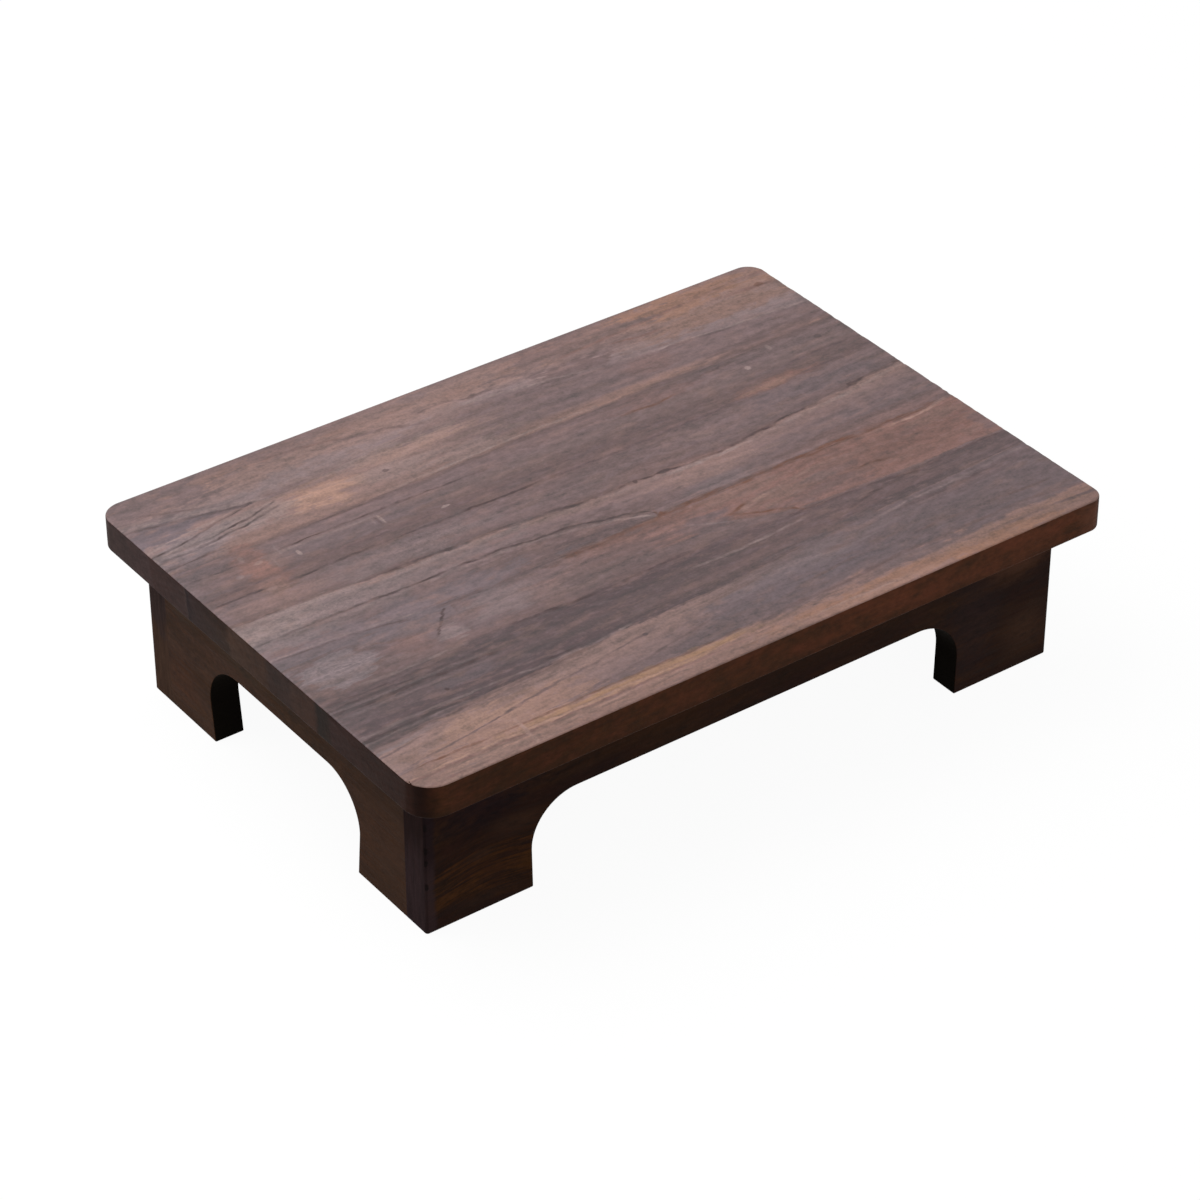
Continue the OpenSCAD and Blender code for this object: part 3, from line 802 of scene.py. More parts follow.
def figure_line(finish, along_share, across_share, half_width, points, broken):
    """The strength of a line at its points and between them, and nothing away from it.

    broken is around 1, and thins the line out here and there.
    """
    middle = finish.along_course(along_share, [(x, y) for x, y, strength in points])
    reach = half_width / FULL_WIDTH
    near = finish.rise(abs(across_share - middle), 1.25 * reach, 0.15 * reach)
    # A course gives shares of the full width, so a strength of 1 is drawn at the full width
    strengths = [(x, strength * FULL_WIDTH) for x, y, strength in points]
    start, end = points[0][0], points[-1][0]
    if start > 0:
        strengths = [(start - LINE_FADE, 0.0)] + strengths
    if end < FULL_LENGTH:
        strengths = strengths + [(end + LINE_FADE, 0.0)]
    return near * finish.along_course(along_share, strengths) * broken


def stroke(finish, spot, start, end, half_width, ragged):
    """One on a straight stroke between two points, and nothing away from it."""
    middle = [(a + b) / 2 for a, b in zip(start, end)]
    half = [(b - a) / 2 for a, b in zip(start, end)]
    length = math.hypot(*half)
    ahead = (half[0] / length, half[1] / length, 0.0)
    aside = (-half[1] / length, half[0] / length, 0.0)
    from_middle = finish.vector_math("SUBTRACT", spot, (*middle, 0.0))
    past = finish.vector_math("DOT_PRODUCT", from_middle, ahead, out="Value")
    away = finish.vector_math("DOT_PRODUCT", from_middle, aside, out="Value")
    beside = finish.rise(abs(away + ragged), 1.2 * half_width, 0.2 * half_width)
    return beside * finish.rise(abs(past), length + 1.0, length - 2.0)


def add_knot(finish, spot, colour, ragged):
    """The grey knot near the left end, with its rings and its dark rim."""
    out = out_from(finish, spot, KNOT) + ragged * 0.4
    inside = finish.rise(out, 1.02, 0.8)
    rings = finish.math("SINE", out * 30.0)
    colour = finish.mix(inside * 0.9, colour, TONES["knot"])
    colour = finish.shade(colour, 1.0 + rings * inside * 0.14)
    rim = finish.rise(out, 0.92, 1.04) * finish.rise(out, 1.3, 1.06)
    return finish.mix(rim * 0.75, colour, TONES["umber"])


def top_finish(name, low, high, start):
    """The brushed upper face of the board that lies from low to high, across from the back edge."""
    finish = Finish(bpy.data.materials.new(name))
    x, y, z = finish.place()
    along = x + (HALF_LENGTH + FIGURE_ALONG)
    straight = along * FIGURE_SLANT - y + (HALF_WIDTH - FIGURE_ACROSS)
    low, high = low - FIGURE_ACROSS, high - FIGURE_ACROSS
    spot = finish.together(along, straight, 0.0)
    sway = finish.cloud(spot, (70, 22, 1), (start, 3, 0))
    wobble = finish.cloud(spot, (12, 4.5, 1), (3, start, 0), 2.0, 0.6)
    across = straight + sway.swing(5.0) + wobble.swing(3.6)
    along_share, across_share = along / FULL_LENGTH, across / FULL_WIDTH
    ring, first, last = ring_number(finish, along_share, across_share, low, high)

    # Noise that runs with the rings, and noise that lies over them
    wavy_spot = finish.together(along, across, 0.0)
    run = finish.together(along, ring, z * 0.4)
    broad = finish.cloud(run, (150, 9, 30), (start, 0, 0), 3.0, 0.55)
    fibres = finish.cloud(run, (34, 1.5, 10), (0, start, 0), 3.0, 0.6)
    hairs = finish.cloud(run, (16, 0.55, 6), (0, 0, start), 2.0, 0.6)
    gaps = finish.cloud(run, (11, 5, 10), (0, 7, start))
    grit = finish.cloud(spot, (1.9, 1.9, 4), (start, 0, start), 2.0, 0.6)
    mottle = finish.cloud(spot, (26, 9, 20), (start, start, 0), 4.0, 0.6)
    blotch = finish.cloud(spot, (9, 4.4, 20), (0, start, start), 2.0, 0.6)
    ragged = mottle.swing(2.6) + fibres.swing(1.2) + blotch.swing(1.0)
    broken = finish.line(gaps, 0.32, 0.68, 0.32, 1.6)

    # The tone from ring to ring, and along the rings
    stops = [(max((number - first) / (last - first), 0.0), TONES[tone_name])
             for number, tone_name in RING_TONES if first - RINGS_BEFORE <= number <= last]
    shifted = ring + broad.swing(6.0) + fibres.swing(5.5)
    colour = finish.node("ShaderNodeValToRGB", {"stops": stops}, {
        "Fac": finish.line(shifted, float(first), float(last), 0.0, 1.0)})
    for first_ring, last_ring, begin, end, tone_name, strength in FADES:
        if last_ring > first and first_ring < last:
            inside = (finish.rise(ring, first_ring - FADE_EDGE, first_ring + FADE_EDGE)
                      * finish.rise(ring, last_ring + FADE_EDGE, last_ring - FADE_EDGE))
            share = finish.rise(along + ragged * 60.0, begin, end) * inside * strength
            colour = finish.mix(share, colour, TONES[tone_name])
    for *oval, tone_name, strength in PATCHES:
        if reaches_board(oval, low, high):
            share = patch(finish, wavy_spot, oval, ragged, strength)
            colour = finish.mix(share, colour, TONES[tone_name])

    # The drawing on it, from the finest lines to the marks
    drawn = (across + fibres.swing(2.4) + broad.swing(4.0)) * (2.0 * math.pi)
    for *oval, pitch, strength in RIPPLES:
        if reaches_board(oval, low, high):
            ripple = finish.math("SINE", drawn * (1.0 / pitch))
            share = patch(finish, wavy_spot, oval, ragged, strength)
            colour = finish.shade(colour, 1.0 + ripple * share * broken)
    if reaches_board(KNOT, low, high):
        colour = add_knot(finish, spot, colour, ragged)
    for *oval, strength in CURLS:
        if reaches_board(oval, low, high):
            curl = finish.math("SINE", blotch * 55.0 + sway.swing(30.0))
            share = patch(finish, spot, oval, ragged, strength)
            colour = finish.shade(colour, 1.0 + curl * share)
    for half_width, tone_name, points in LINES:
        if crosses_board(points, low, high, LINE_MARGIN):
            share = figure_line(finish, along_share, across_share, half_width, points, broken)
            colour = finish.mix(share, colour, TONES[tone_name])
    for start_point, end_point, half_width, tone_name, strength in STROKES:
        if low < (start_point[1] + end_point[1]) / 2 < high:
            share = stroke(finish, wavy_spot, start_point, end_point, half_width, wobble.swing(3.0))
            colour = finish.mix(share * strength * broken, colour, TONES[tone_name])
    for *oval, tone_name, strength in MARKS:
        if reaches_board(oval, low, high):
            share = patch(finish, wavy_spot, oval, ragged * 0.3, strength)
            colour = finish.mix(share, colour, TONES[tone_name])

    # The unevenness of brushed and oiled wood
    colour = finish.tint(colour, TONES["tan"], 0.3, mottle, 0.48, 0.68)
    colour = finish.tint(colour, TONES["dusk"], 0.3, mottle, 0.48, 0.3)
    colour = finish.tint(colour, TONES["slate"], 0.2, blotch, 0.52, 0.7)
    streaks = broad.swing(1.3) + fibres.swing(0.3) + hairs.swing(0.12)
    colour = finish.shade(colour, 1.0 + streaks + grit.swing(0.8) + blotch.swing(1.3))
    height = fibres * 0.6 + hairs * 0.4
    return finish.surface(colour, 0.5, 0.5 + fibres.swing(0.3), height, 0.35, 0.3)


# Bands in the end grain of the top: place across from the back edge, and tone
END_BANDS = [
    (0, (56, 46, 44)), (60, (60, 47, 46)), (64, (57, 43, 41)), (100, (55, 42, 40)),
    (101.5, (62, 50, 47)), (103.5, (39, 32, 33)), (109, (47, 37, 36)), (146, (49, 38, 33)),
    (150, (63, 48, 41)), (188, (56, 42, 36)), (193, (47, 37, 34)), (213, (50, 39, 36)),
    (217, (57, 43, 38)), (240, (55, 41, 36)), (244, (38, 33, 31)), (254, (42, 34, 31)),
    (258, (48, 36, 34)), (300, (47, 35, 32)), (348, (42, 29, 24)),
]


def edge_finish():
    """The edges of the top: long grain in front and behind, end grain at the ends."""
    finish = Finish(bpy.data.materials.new("top_edge_wood"))
    x, y, z = finish.place()
    face_x, face_y, face_z = finish.facing()
    here = finish.together(x, y, z)
    mottle = finish.cloud(here, (15, 15, 8), (4, 2, 6), 3.0, 0.6)
    speckle = finish.cloud(here, (4.5, 4.5, 3), (1, 7, 3), 2.0, 0.6)
    lengthwise = finish.together(x, z + y * 0.3, y * 0.2)
    streak = finish.cloud(lengthwise, (60, 2.4, 12), (3, 1, 0), 4.0, 0.6)
    band = finish.cloud(lengthwise, (90, 14, 30), (7, 5, 2))

    rail = finish.mix(finish.rise(x, -200.0, 190.0), front_tone(47, 28, 18), front_tone(72, 41, 28))
    rail = finish.tint(rail, front_tone(56, 34, 22), 0.6, band, 0.35, 0.7)
    rail = finish.tint(rail, front_tone(68, 36, 27), 0.3, mottle, 0.46, 0.7)
    rail = finish.tint(rail, front_tone(48, 34, 23), 0.35, mottle, 0.5, 0.3)
    rail = finish.tint(rail, front_tone(39, 25, 17), 0.4, z, 110.0, 103.0)
    rail = finish.tint(rail, front_tone(86, 57, 45), 0.6, x, 222.0, 246.0)
    rail = finish.shade(rail, 1.0 + streak.swing(0.7) + speckle.swing(0.9) + mottle.swing(0.9))

    bands = [(across / FULL_WIDTH, end_tone(*band_tone)) for across, band_tone in END_BANDS]
    across = HALF_WIDTH - y + mottle.swing(7.0) + (z - (TOP_UPPER + TOP_UNDER) / 2) * 0.12
    end_wood = finish.node("ShaderNodeValToRGB", {"stops": bands}, {"Fac": across / FULL_WIDTH})
    end_wood = finish.shade(end_wood, 1.0 + mottle.swing(1.0) + speckle.swing(0.9))

    ends = finish.rise(abs(face_x), 0.45, 0.8)
    # Painted shade: where the edges round the corners of the top, between front or back and end, they
    # are made darker
    corner = finish.rise(abs(face_x * face_y), 0.22, 0.46)
    colour = finish.shade(finish.mix(ends, rail, end_wood), 1.0 - corner * 0.42)
    height = finish.node("ShaderNodeMix", {}, {0: ends, 2: streak, 3: speckle})
    return finish.surface(colour, 0.06, 0.6 + streak.swing(0.2), height, 0.4)


def underside_finish():
    """The planed and stained underside of the top."""
    finish = Finish(bpy.data.materials.new("top_underside"))
    lengthwise = finish.together(*finish.place())
    streak = finish.cloud(lengthwise, (70, 2.2, 12), (3, 1, 0), 4.0, 0.6)
    band = finish.cloud(lengthwise, (160, 14, 30), (7, 5, 2))
    colour = finish.mix(finish.rise(band, 0.35, 0.65), tone(58, 42, 36), tone(80, 60, 50))
    colour = finish.shade(colour, 1.0 + streak.swing(0.8))
    return finish.surface(colour, 0.2, 0.6 + streak.swing(0.2), streak, 0.3)


# Dark, light and warm tones of the long boards of the base, and of the boards at its ends
SIDE_TONES = (front_tone(28, 17, 14), front_tone(38, 24, 17), front_tone(63, 38, 20))
END_TONES = (end_tone(53, 38, 30), end_tone(61, 44, 36), end_tone(66, 44, 33))

# Patches on the front and left boards: middle (along, height), half length, half height, tone
# and strength
FRONT_PATCHES = [
    # Painted shade: this first patch darkens the upper part of the near foot, under the top
    (-192, 80, 44, 24, front_tone(25, 16, 17), 0.9),
    (-170, 52, 24, 10, front_tone(47, 32, 25), 0.6),
    (-196, 40, 14, 6, front_tone(46, 31, 24), 0.5),
    (-163, 22, 9, 8, front_tone(58, 36, 18), 0.4),
    (-196, 9, 26, 6, front_tone(37, 25, 20), 0.6),
    (-60, 80, 60, 12, front_tone(45, 28, 18), 0.7),
    (60, 78, 100, 14, front_tone(37, 23, 16), 0.7),
    (172, 48, 24, 56, front_tone(36, 26, 25), 0.6),
    (206, 84, 36, 18, front_tone(70, 46, 35), 0.85),
    (214, 26, 26, 26, front_tone(55, 38, 29), 0.6),
]
LEFT_PATCHES = [
    (112, 26, 26, 24, end_tone(64, 43, 34), 0.6),
    (105, 84, 36, 12, end_tone(71, 57, 47), 0.6),
    (40, 78, 60, 9, end_tone(64, 49, 38), 0.5),
    (-20, 70, 60, 7, end_tone(58, 43, 33), 0.5),
    (-100, 40, 24, 22, end_tone(61, 42, 33), 0.6),
    (-112, 84, 30, 10, end_tone(44, 34, 30), 0.6),
    (-92, 8, 20, 7, end_tone(48, 34, 27), 0.5),
]

# The bend of the grain in the left feet of the long boards: middle along the board, half length
# and height
FOOT_BEND = (-190.0, 44.0, 5.0)

# Where the dark strip at the left end of the long boards starts, and where it is whole, as the
# distance to the left of their middle. It is partly the end grain's tone carried round the eased
# arris and partly painted light of that arris, with painted shade high up under the top
PAINTED_END_STRIP = (224.5, 228.0)

# Worn pits in the upright arrises at the left end of the long boards: height and half height
PITS = [(76, 3), (60, 3.2), (51, 2.4), (34, 2.6)]
PIT_ALONG = 1 - BASE_X
PIT_HALF_LENGTH = 1.5


def apron_finish(name, lengthwise, start, faces, contrast, patches):
    """The outer face of a burnt board of the base.

    lengthwise is 0 where the grain runs along x and 1 along y. faces has the tones of the outer
    face: dark, light and warm. contrast is how strongly its grain shows. patches are like those
    of the top, by place along the board and height.
    """
    finish = Finish(bpy.data.materials.new(name))
    dark, light, warm = faces
    place = finish.place()
    along, depth, height = place[lengthwise], place[1 - lengthwise], place[2]
    bend_middle, bend_half, bend_height = FOOT_BEND
    bend = finish.rise(abs(along - bend_middle), bend_half, 0.0, 0.0, bend_height)
    grain = finish.together(along, height - bend, depth * 0.6)
    streak = finish.cloud(grain, (34, 1.9, 9), (start, 1, 0), 4.0, 0.6)
    band = finish.cloud(grain, (90, 13, 30), (start, 5, 2), 3.0, 0.55)
    mottle = finish.cloud(grain, (24, 11, 16), (start, 9, 2), 3.0, 0.6)
    speckle = finish.cloud(grain, (5.5, 3.2, 5), (start, 2, 6), 2.0, 0.6)

    # The warm streaks lie low on the feet, and are strongest at the left or front end
    colour = finish.mix(finish.rise(band, 0.38, 0.64), dark, light)
    low_down = (finish.rise(height, 58.0, 34.0) * finish.rise(height, 3.0, 18.0, 0.1, 1.0)
                * finish.rise(along, 40.0, -150.0, 0.15, 1.0))
    warm_share = finish.rise(streak * 1.6 + band * 0.6 + low_down * 0.16, 1.09, 1.42) * low_down
    colour = finish.mix(warm_share * contrast, colour, warm)
    colour = finish.tint(colour, dark, 0.5, mottle, 0.5, 0.66)

    spot = finish.together(along, height, 0.0)
    ragged = mottle.swing(1.6) + speckle.swing(0.8) + streak.swing(0.5)
    for *oval, patch_colour, strength in patches:
        colour = finish.mix(patch(finish, spot, oval, ragged, strength, 0.2), colour, patch_colour)
    shading = streak.swing(1.3 * contrast) + mottle.swing(1.5) + speckle.swing(1.2)
    colour = finish.shade(colour, 1.0 + shading)

    if lengthwise == 1:
        colour = finish.tint(colour, dark, 0.45, along, -40.0, -120.0)
    else:
        # Painted light and shade: a dark purple strip by the left arris in the end grain's tone, darker
        # high up under the top
        painted_end_strip = finish.rise(mottle.swing(6.0) - along, *PAINTED_END_STRIP)
        worn = finish.mix(finish.rise(height, 56.0, 40.0),
                          front_tone(26, 18, 20), front_tone(41, 30, 31))
        colour = finish.mix(painted_end_strip * 0.85, colour, worn)
        face_x, face_y, face_z = finish.facing()
        # Painted shade: the eased upright arris, where the face turns between front and end, is made
        # darker
        arris_shade = finish.rise(abs(face_x * face_y), 0.12, 0.4)
        colour = finish.shade(colour, 1.0 - arris_shade * 0.3)
        for pit_height, half_height in PITS:
            pit = (PIT_ALONG, pit_height, PIT_HALF_LENGTH, half_height)
            share = patch(finish, spot, pit, speckle.swing(0.8), 0.8)
            colour = finish.mix(share, colour, front_tone(14, 10, 10))
    return finish.surface(colour, 0.04, 0.6 + streak.swing(0.25), streak, 0.4)


def end_grain_finish(name, start, upper, lower):
    """The end grain of a front or back board of the base, with a tone high up and one low down."""
    finish = Finish(bpy.data.materials.new(name))
    x, y, z = finish.place()
    here = finish.together(x * 0.3, y, z)
    cracks = finish.cloud(here, (30, 2.2, 22), (start, 3, 1), 3.0, 0.6)
    mottle = finish.cloud(here, (30, 9, 14), (start, 6, 2), 3.0, 0.6)
    colour = finish.mix(finish.rise(z + mottle.swing(60.0), 66.0, 40.0), upper, lower)
    colour = finish.shade(colour, 1.0 + cracks.swing(1.4) + mottle.swing(0.6))
    return finish.surface(colour, 0.015, 0.75 + cracks.swing(0.3), cracks, 0.4)


def inside_finish():
    """The arches and inner faces of the base, burnt almost black and left dull, with the arches darkened
    further as painted shade.
    """
    finish = Finish(bpy.data.materials.new("base_inside_wood"))
    x, y, z = finish.place()
    face_x, face_y, face_z = finish.facing()
    side_board = finish.rise(abs(y), BASE_Y - BOARD - 1.0, BASE_Y - BOARD)
    end_board = 1.0 - side_board
    inner_face = abs(face_y) * side_board + abs(face_x) * end_board
    grain = finish.together(x * side_board + y * end_board, z, (x + y) * 0.3)
    streak = finish.cloud(grain, (42, 1.7, 9), (3, 1, 0), 4.0, 0.6)
    band = finish.cloud(grain, (110, 11, 30), (4, 5, 2), 3.0, 0.55)
    planed = finish.mix(finish.rise(band, 0.38, 0.62), tone(38, 27, 22), tone(56, 41, 34))
    # Painted shade: faces other than the inner faces, the arches and their jambs, get a near-black tone,
    # partly burnt wood and partly shade
    colour = finish.mix(finish.rise(inner_face, 0.7, 0.95), tone(26, 22, 18), planed)
    colour = finish.shade(colour, 1.0 + streak.swing(0.9))
    return finish.surface(colour, 0.01, 0.8 + streak.swing(0.2), streak, 0.4)


def block_finish():
    """Sawn corner blocks, stained thinly."""
    finish = Finish(bpy.data.materials.new("block_wood"))
    x, y, z = finish.place()
    grain = finish.together((x + y) * 0.7, z, (x - y) * 0.7)
    streak = finish.cloud(grain, (3.0, 45, 3.0), (1, 2, 3), 4.0, 0.6)
    saw_marks = finish.cloud(grain, (40, 1.1, 40), (5, 1, 2), 2.0, 0.7)
    colour = finish.mix(streak, tone(70, 50, 38), tone(106, 80, 62))
    colour = finish.shade(colour, 1.0 + saw_marks.swing(0.4))
    return finish.surface(colour, 0.2, 0.7 + streak.swing(0.2), saw_marks, 0.25)


def dowel_finish():
    """Turned dowels of pale wood."""
    finish = Finish(bpy.data.materials.new("dowel_wood"))
    grain = finish.together(*finish.place())
    streak = finish.cloud(grain, (1.2, 1.2, 14), (1, 2, 3), 4.0, 0.6)
    ring = finish.cloud(grain, (4, 4, 40), (4, 2, 9))
    colour = finish.mix(streak, tone(180, 142, 98), tone(214, 182, 136))
    colour = finish.shade(colour, 1.0 + ring.swing(0.3))
    return finish.surface(colour, 0.3, 0.55 + streak.swing(0.2), streak, 0.15)


def screw_finish():
    """Yellow zinc plate, a little dulled."""
    finish = Finish(bpy.data.materials.new("screw_metal"))
    here = finish.together(*finish.place())
    cloud = finish.cloud(here, (2.5, 2.5, 2.5), (1, 2, 3), 4.0, 0.6)
    scuff = finish.cloud(here, (0.5, 0.5, 3.0), (6, 1, 3), 2.0, 0.7)
    colour = finish.mix(cloud, tone(186, 162, 96), tone(206, 196, 150))
    colour = finish.shade(colour, 1.0 + scuff.swing(0.3))
    return finish.surface(colour, 0.5, 0.35 + scuff.swing(0.3), scuff, 0.05, metallic=1.0)


# Board making


def smooth_piece(name, made, materials):
    """Turns a finished bmesh in millimetres into an object that rides with the table."""
    made.normal_update()
    made.transform(Matrix.Scale(MM, 4))
    mesh = bpy.data.meshes.new(name)
    made.to_mesh(mesh)
    made.free()
    for material in materials:
        mesh.materials.append(material)
    mesh.shade_smooth()
    mesh.set_sharp_from_angle(angle=SHARP_TURN)
    piece = bpy.data.objects.new(name, mesh)
    bpy.context.scene.collection.objects.link(piece)
    weighted = piece.modifiers.new("weighted_normals", "WEIGHTED_NORMAL")
    weighted.keep_sharp = True
    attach(piece, "root")
    return piece


def raise_outline(outline, put, low, high):
    """A solid between two copies of an outline. put turns (u, v, depth) into a point."""
    made = bmesh.new()
    lower = [made.verts.new(put(u, v, low)) for u, v in outline]
    upper = [made.verts.new(put(u, v, high)) for u, v in outline]
    made.faces.new(lower[::-1])
    made.faces.new(upper)
    for i in range(len(outline)):
        j = (i + 1) % len(outline)
        made.faces.new((lower[i], lower[j], upper[j], upper[i]))
    bmesh.ops.recalc_face_normals(made, faces=made.faces[:])
    return made


def round_edges(made, chosen, offset, segments):
    bmesh.ops.bevel(made, geom=chosen, offset=offset, offset_type="OFFSET", segments=segments,
                    profile=0.5, affect="EDGES", clamp_overlap=True)
    made.normal_update()


def arc(middle_u, middle_v, radius, start, end, steps):
    """Points of an arc from one angle to another, in degrees."""
    angles = [math.radians(start + (end - start) * i / steps) for i in range(steps + 1)]
    return [(middle_u + radius * math.cos(a), middle_v + radius * math.sin(a)) for a in angles]


def board_outline(low, high):
    """Plan of the board of the top between two lines across its width, anticlockwise."""
    y_back, y_front = HALF_WIDTH - low, HALF_WIDTH - high

    def corner(side, end, start_angle):
        if end == -1 and high < FULL_WIDTH or end == 1 and low > 0:
            return [(side * HALF_LENGTH, y_front if end == -1 else y_back)]
        radius = CORNER_RADIUS[(side, end)]
        return arc(side * (HALF_LENGTH - radius), end * (HALF_WIDTH - radius), radius,
                   start_angle, start_angle + 90, CORNER_STEPS)

    return corner(-1, -1, 180) + corner(1, -1, 270) + corner(1, 1, 0) + corner(-1, 1, 90)


def brushed_depth(along, across):
    """How far the wire brush has cut into the upper face, in millimetres."""
    long_wave = noise.noise(Vector((along / 120.0, across / 7.0, 1.5)))
    short_wave = noise.noise(Vector((along / 55.0, across / 2.6, 7.5)))
    return 0.10 + 0.06 * long_wave + 0.05 * short_wave


def worn_back(across, at_right):
    """How far the brush has worn an end arris back, in millimetres."""
    seed, depth = (2.0, 0.5) if at_right else (9.0, 1.1)
    coarse = noise.noise(Vector((across / 5.0, seed, 0.5)))
    fine = noise.noise(Vector((across / 2.2, seed, 4.5)))
    return max(coarse + 0.5 * fine, 0.0) * depth


def make_top_board(name, node, low, high, materials):
    """A board of the top. materials are for its upper face, its edges and its underside."""
    made = raise_outline(board_outline(low, high), lambda u, v, d: (u, v, d), TOP_UNDER, TOP_UPPER)
    joints = [HALF_WIDTH - edge for edge in (low, high) if 0 < edge < FULL_WIDTH]

    def outer_edges(height):
        """The edges at a height, without those in a joint."""
        level = [e for e in made.edges if all(abs(v.co.z - height) < NEAR for v in e.verts)]
        return [e for e in level
                if not any(all(abs(v.co.y - joint) < NEAR for v in e.verts) for joint in joints)]

    round_edges(made, outer_edges(TOP_UPPER), TOP_ARRIS, 3)
    round_edges(made, outer_edges(TOP_UNDER), UNDER_ARRIS, 2)
    rows = [HALF_WIDTH - low - BRUSH_ROW * i for i in range(1, int((high - low) / BRUSH_ROW))]
    columns = [-HALF_LENGTH + BRUSH_COLUMN * i for i in range(1, int(FULL_LENGTH / BRUSH_COLUMN))]
    cuts = [((0, row, 0), (0, 1, 0)) for row in rows]
    cuts += [((column, 0, 0), (1, 0, 0)) for column in columns]
    for place, direction in cuts:
        upper = [face for face in made.faces if face.normal.z > 0.1]
        edges = {edge for face in upper for edge in face.edges}
        verts = {vert for face in upper for vert in face.verts}
        bmesh.ops.bisect_plane(made, geom=upper + list(edges) + list(verts), dist=0.0001,
                               plane_co=place, plane_no=direction)
    for vert in made.verts:
        if vert.co.z < TOP_UPPER - BRUSHED_BELOW:
            continue
        along, across = vert.co.x + HALF_LENGTH, HALF_WIDTH - vert.co.y
        vert.co.z -= brushed_depth(along, across)
        if abs(vert.co.x) > HALF_LENGTH - WORN_WITHIN:
            worn = worn_back(across, vert.co.x > 0)
            vert.co.z -= WORN_DOWN * worn
            vert.co.x -= math.copysign(WORN_IN * worn, vert.co.x)
    made.normal_update()
    for face in made.faces:
        face.material_index = 0 if face.normal.z > FACING else 2 if face.normal.z < -FACING else 1
    piece = smooth_piece(name, made, materials)
    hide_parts(node)


def arched_outline(half_length, arch):
    """Face of a base board with its arch, anticlockwise from the left foot's outer corner."""
    arch_half, arch_height, spread = arch
    spring = arch_height - ARCH_RADIUS
    half_flat = arch_half + spread - ARCH_RADIUS
    left = arc(-half_flat, spring, ARCH_RADIUS, 180, 90, ARCH_STEPS)
    right = arc(half_flat, spring, ARCH_RADIUS, 90, 0, ARCH_STEPS)
    return ([(-half_length, 0), (-arch_half, 0)] + left + right
            + [(arch_half, 0), (half_length, 0), (half_length, TOP_UNDER), (-half_length, TOP_UNDER)])


def make_apron(name, node, axis, side, materials):
    """A base board: axis is 0 for the front and back boards, which run along x, and 1 for the ends.

    materials are for its outer face, its arch and inner face, and its end grain.
    """
    joint_y = BASE_Y - BOARD
    if axis == 0:
        outward = Vector((0, side, 0))
        outline = arched_outline(BASE_X, SIDE_ARCH)
        made = raise_outline(outline, lambda u, v, d: (u, d, v), side * BASE_Y, side * joint_y)
        upright = [e for e in made.edges if abs(e.verts[0].co.z - e.verts[1].co.z) > TOP_UNDER / 2
                   and all(abs(v.co.x) > BASE_X - NEAR and abs(v.co.y) > BASE_Y - NEAR for v in e.verts)]
        round_edges(made, upright, UPRIGHT_ARRIS, 6)
    else:
        outward = Vector((side, 0, 0))
        outline = arched_outline(joint_y, END_ARCH)
        made = raise_outline(outline, lambda u, v, d: (d, u, v), side * BASE_X,
                             side * (BASE_X - BOARD))

    def eased(edge):
        in_butt_joint = all(abs(abs(v.co.y) - joint_y) < NEAR for v in edge.verts) and (
            axis == 1 or all(abs(v.co.x) > BASE_X - BOARD - NEAR for v in edge.verts))
        under_top = all(v.co.z > TOP_UNDER - NEAR for v in edge.verts)
        return edge.calc_face_angle(0) > SHARP_TURN and not in_butt_joint and not under_top

    round_edges(made, [e for e in made.edges if eased(e)], BASE_ARRIS, 2)
    for face in made.faces:
        at_end = axis == 0 and abs(face.calc_center_median().x) > BASE_X - UPRIGHT_ARRIS
        if at_end and abs(face.normal.x) > 0.85:
            face.material_index = 2
        elif at_end or face.normal.dot(outward) > FACING:
            face.material_index = 0
        else:
            face.material_index = 1
    piece = smooth_piece(name, made, materials)
    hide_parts(node)


def dress_node(node, material):
    """Gives a CAD node its finish."""
    piece = frame["nodes"][node]
    piece.data.materials.clear()
    piece.data.materials.append(material)


# Floor and world


def make_floor():
    """A plain pale floor that keeps a faint shadow of the table."""
    finish = Finish(bpy.data.materials.new("pale_floor"))
    plain = finish.node("ShaderNodeBsdfDiffuse", {}, {"Color": (0.55, 0.55, 0.55, 1.0)})
    pale = finish.node("ShaderNodeBsdfDiffuse", {}, {"Color": (0.9, 0.9, 0.9, 1.0)})
    white = finish.node("ShaderNodeEmission", {}, {"Strength": 1.03})
    shadowed = finish.node("ShaderNodeMixShader", {}, {0: 0.92, 1: pale, 2: white})
    surface = finish.node("ShaderNodeMixShader", {}, {0: finish.seen(), 1: plain, 2: shadowed})
    finish.node("ShaderNodeOutputMaterial", {}, {"Surface": surface})
    mesh = bpy.data.meshes.new("floor")
    half = 12.0
    corners = [(-half, -half, 0), (half, -half, 0), (half, half, 0), (-half, half, 0)]
    mesh.from_pydata(corners, [], [(0, 1, 2, 3)])
    mesh.materials.append(finish.owner)
    floor = bpy.data.objects.new("floor", mesh)
    bpy.context.scene.collection.objects.link(floor)


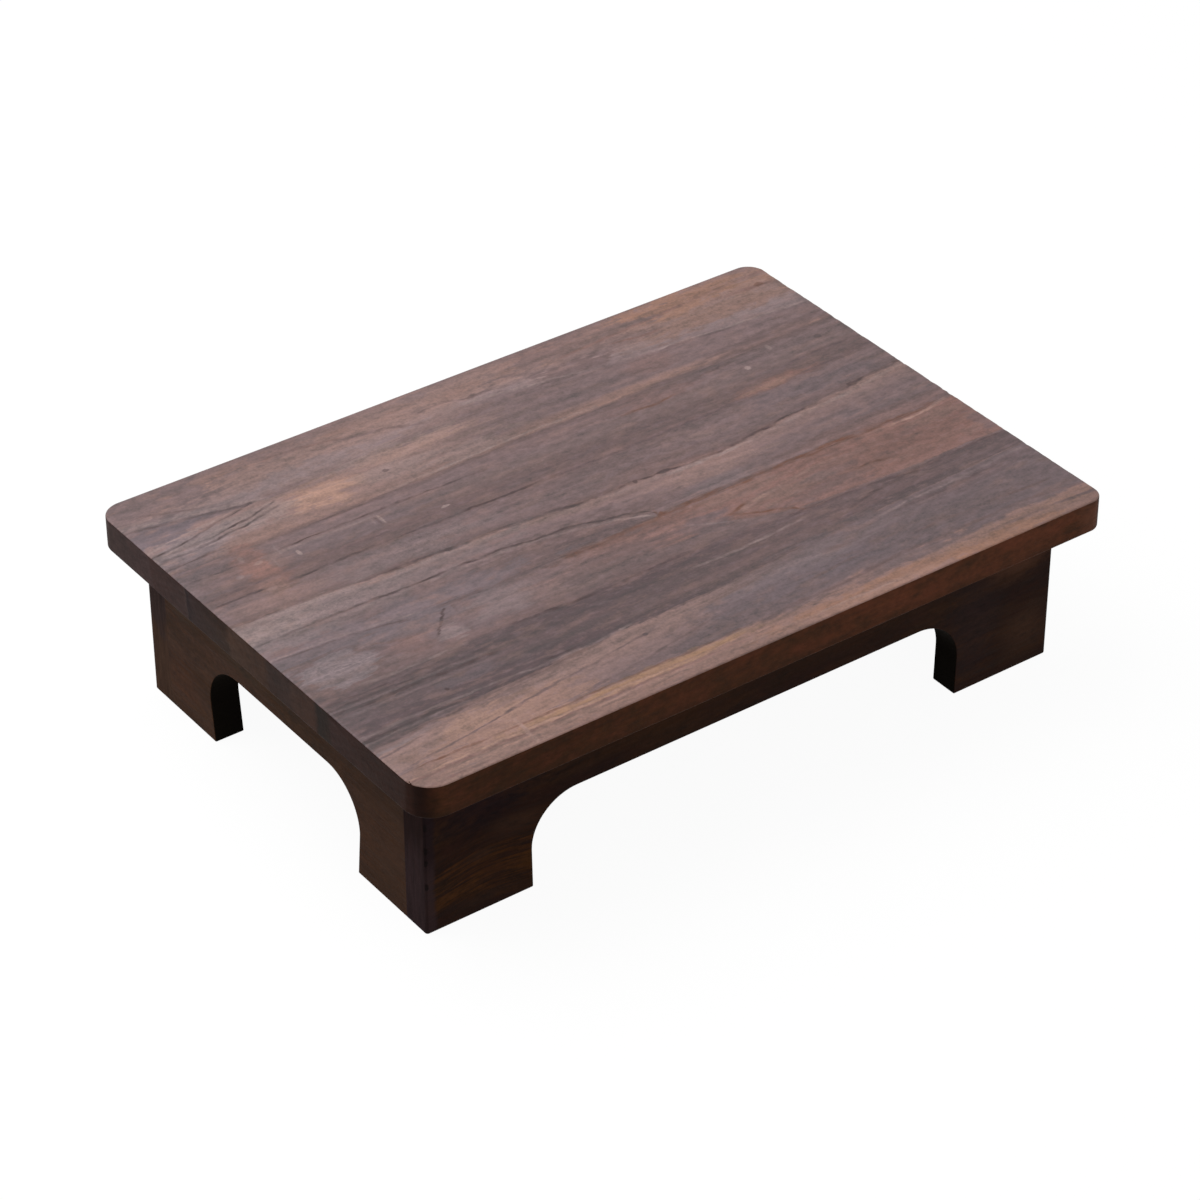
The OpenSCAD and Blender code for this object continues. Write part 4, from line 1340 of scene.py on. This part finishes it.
def make_world():
    """Soft light from all round, which the camera sees as white."""
    finish = Finish(bpy.data.worlds.new("soft_studio"))
    light = finish.node("ShaderNodeBackground", {}, {"Color": (1.0, 1.0, 1.0, 1.0), "Strength": 0.42})
    white = finish.node("ShaderNodeBackground", {}, {"Color": (1.0, 1.0, 1.0, 1.0), "Strength": 1.0})
    surface = finish.node("ShaderNodeMixShader", {}, {0: finish.seen(), 1: light, 2: white})
    finish.node("ShaderNodeOutputWorld", {}, {"Surface": surface})
    bpy.context.scene.world = finish.owner


# The table

set_camera()
make_world()
make_floor()
add_lamp("soft_box", (-0.55, 0.75, 1.7), 1.8, 26.0)
bpy.context.scene.view_settings.view_transform = "Standard"

edge_wood = edge_finish()
underside = underside_finish()
for number, board in enumerate(["back", "mid_back", "mid_front", "front"]):
    board_low, board_high = BOARD_EDGES[number], BOARD_EDGES[number + 1]
    upper_face = top_finish("top_" + board + "_figure", board_low, board_high, 11.0 * number + 2.0)
    make_top_board("board_" + board, "top_board_" + board, board_low, board_high,
                   [upper_face, edge_wood, underside])

inside_wood = inside_finish()
front_end_grain = end_grain_finish(
    "front_end_grain", 2.0, end_grain_tone(36, 25, 24), end_grain_tone(45, 34, 35))
back_end_grain = end_grain_finish(
    "back_end_grain", 7.0, end_grain_tone(51, 40, 38), end_grain_tone(61, 45, 37))

# Boards of the base: name, axis, side, tones, contrast, patches, and any finish of the end grain
APRONS = [
    ("front", 0, -1, SIDE_TONES, 0.5, FRONT_PATCHES, [front_end_grain]),
    ("back", 0, 1, SIDE_TONES, 0.5, [], [back_end_grain]),
    ("left", 1, -1, END_TONES, 0.45, LEFT_PATCHES, []),
    ("right", 1, 1, END_TONES, 0.45, [], []),
]
for number, (board, axis, side, faces, contrast, patches, end_grain) in enumerate(APRONS):
    burnt_wood = apron_finish("base_" + board + "_wood", axis, 5.0 * number + 3.0, faces, contrast,
                              patches)
    make_apron("rail_" + board, board + "_apron", axis, side, [burnt_wood, inside_wood] + end_grain)

SLOT_FINISHES = {
    "block_wood": block_finish(),
    "dowel_wood": dowel_finish(),
    "screw_metal": screw_finish(),
}
for subpart in frame["record"]["subparts"]:
    node, slot = subpart["node"], subpart["material_slot"]
    if slot in SLOT_FINISHES:
        dress_node(node, SLOT_FINISHES[slot])
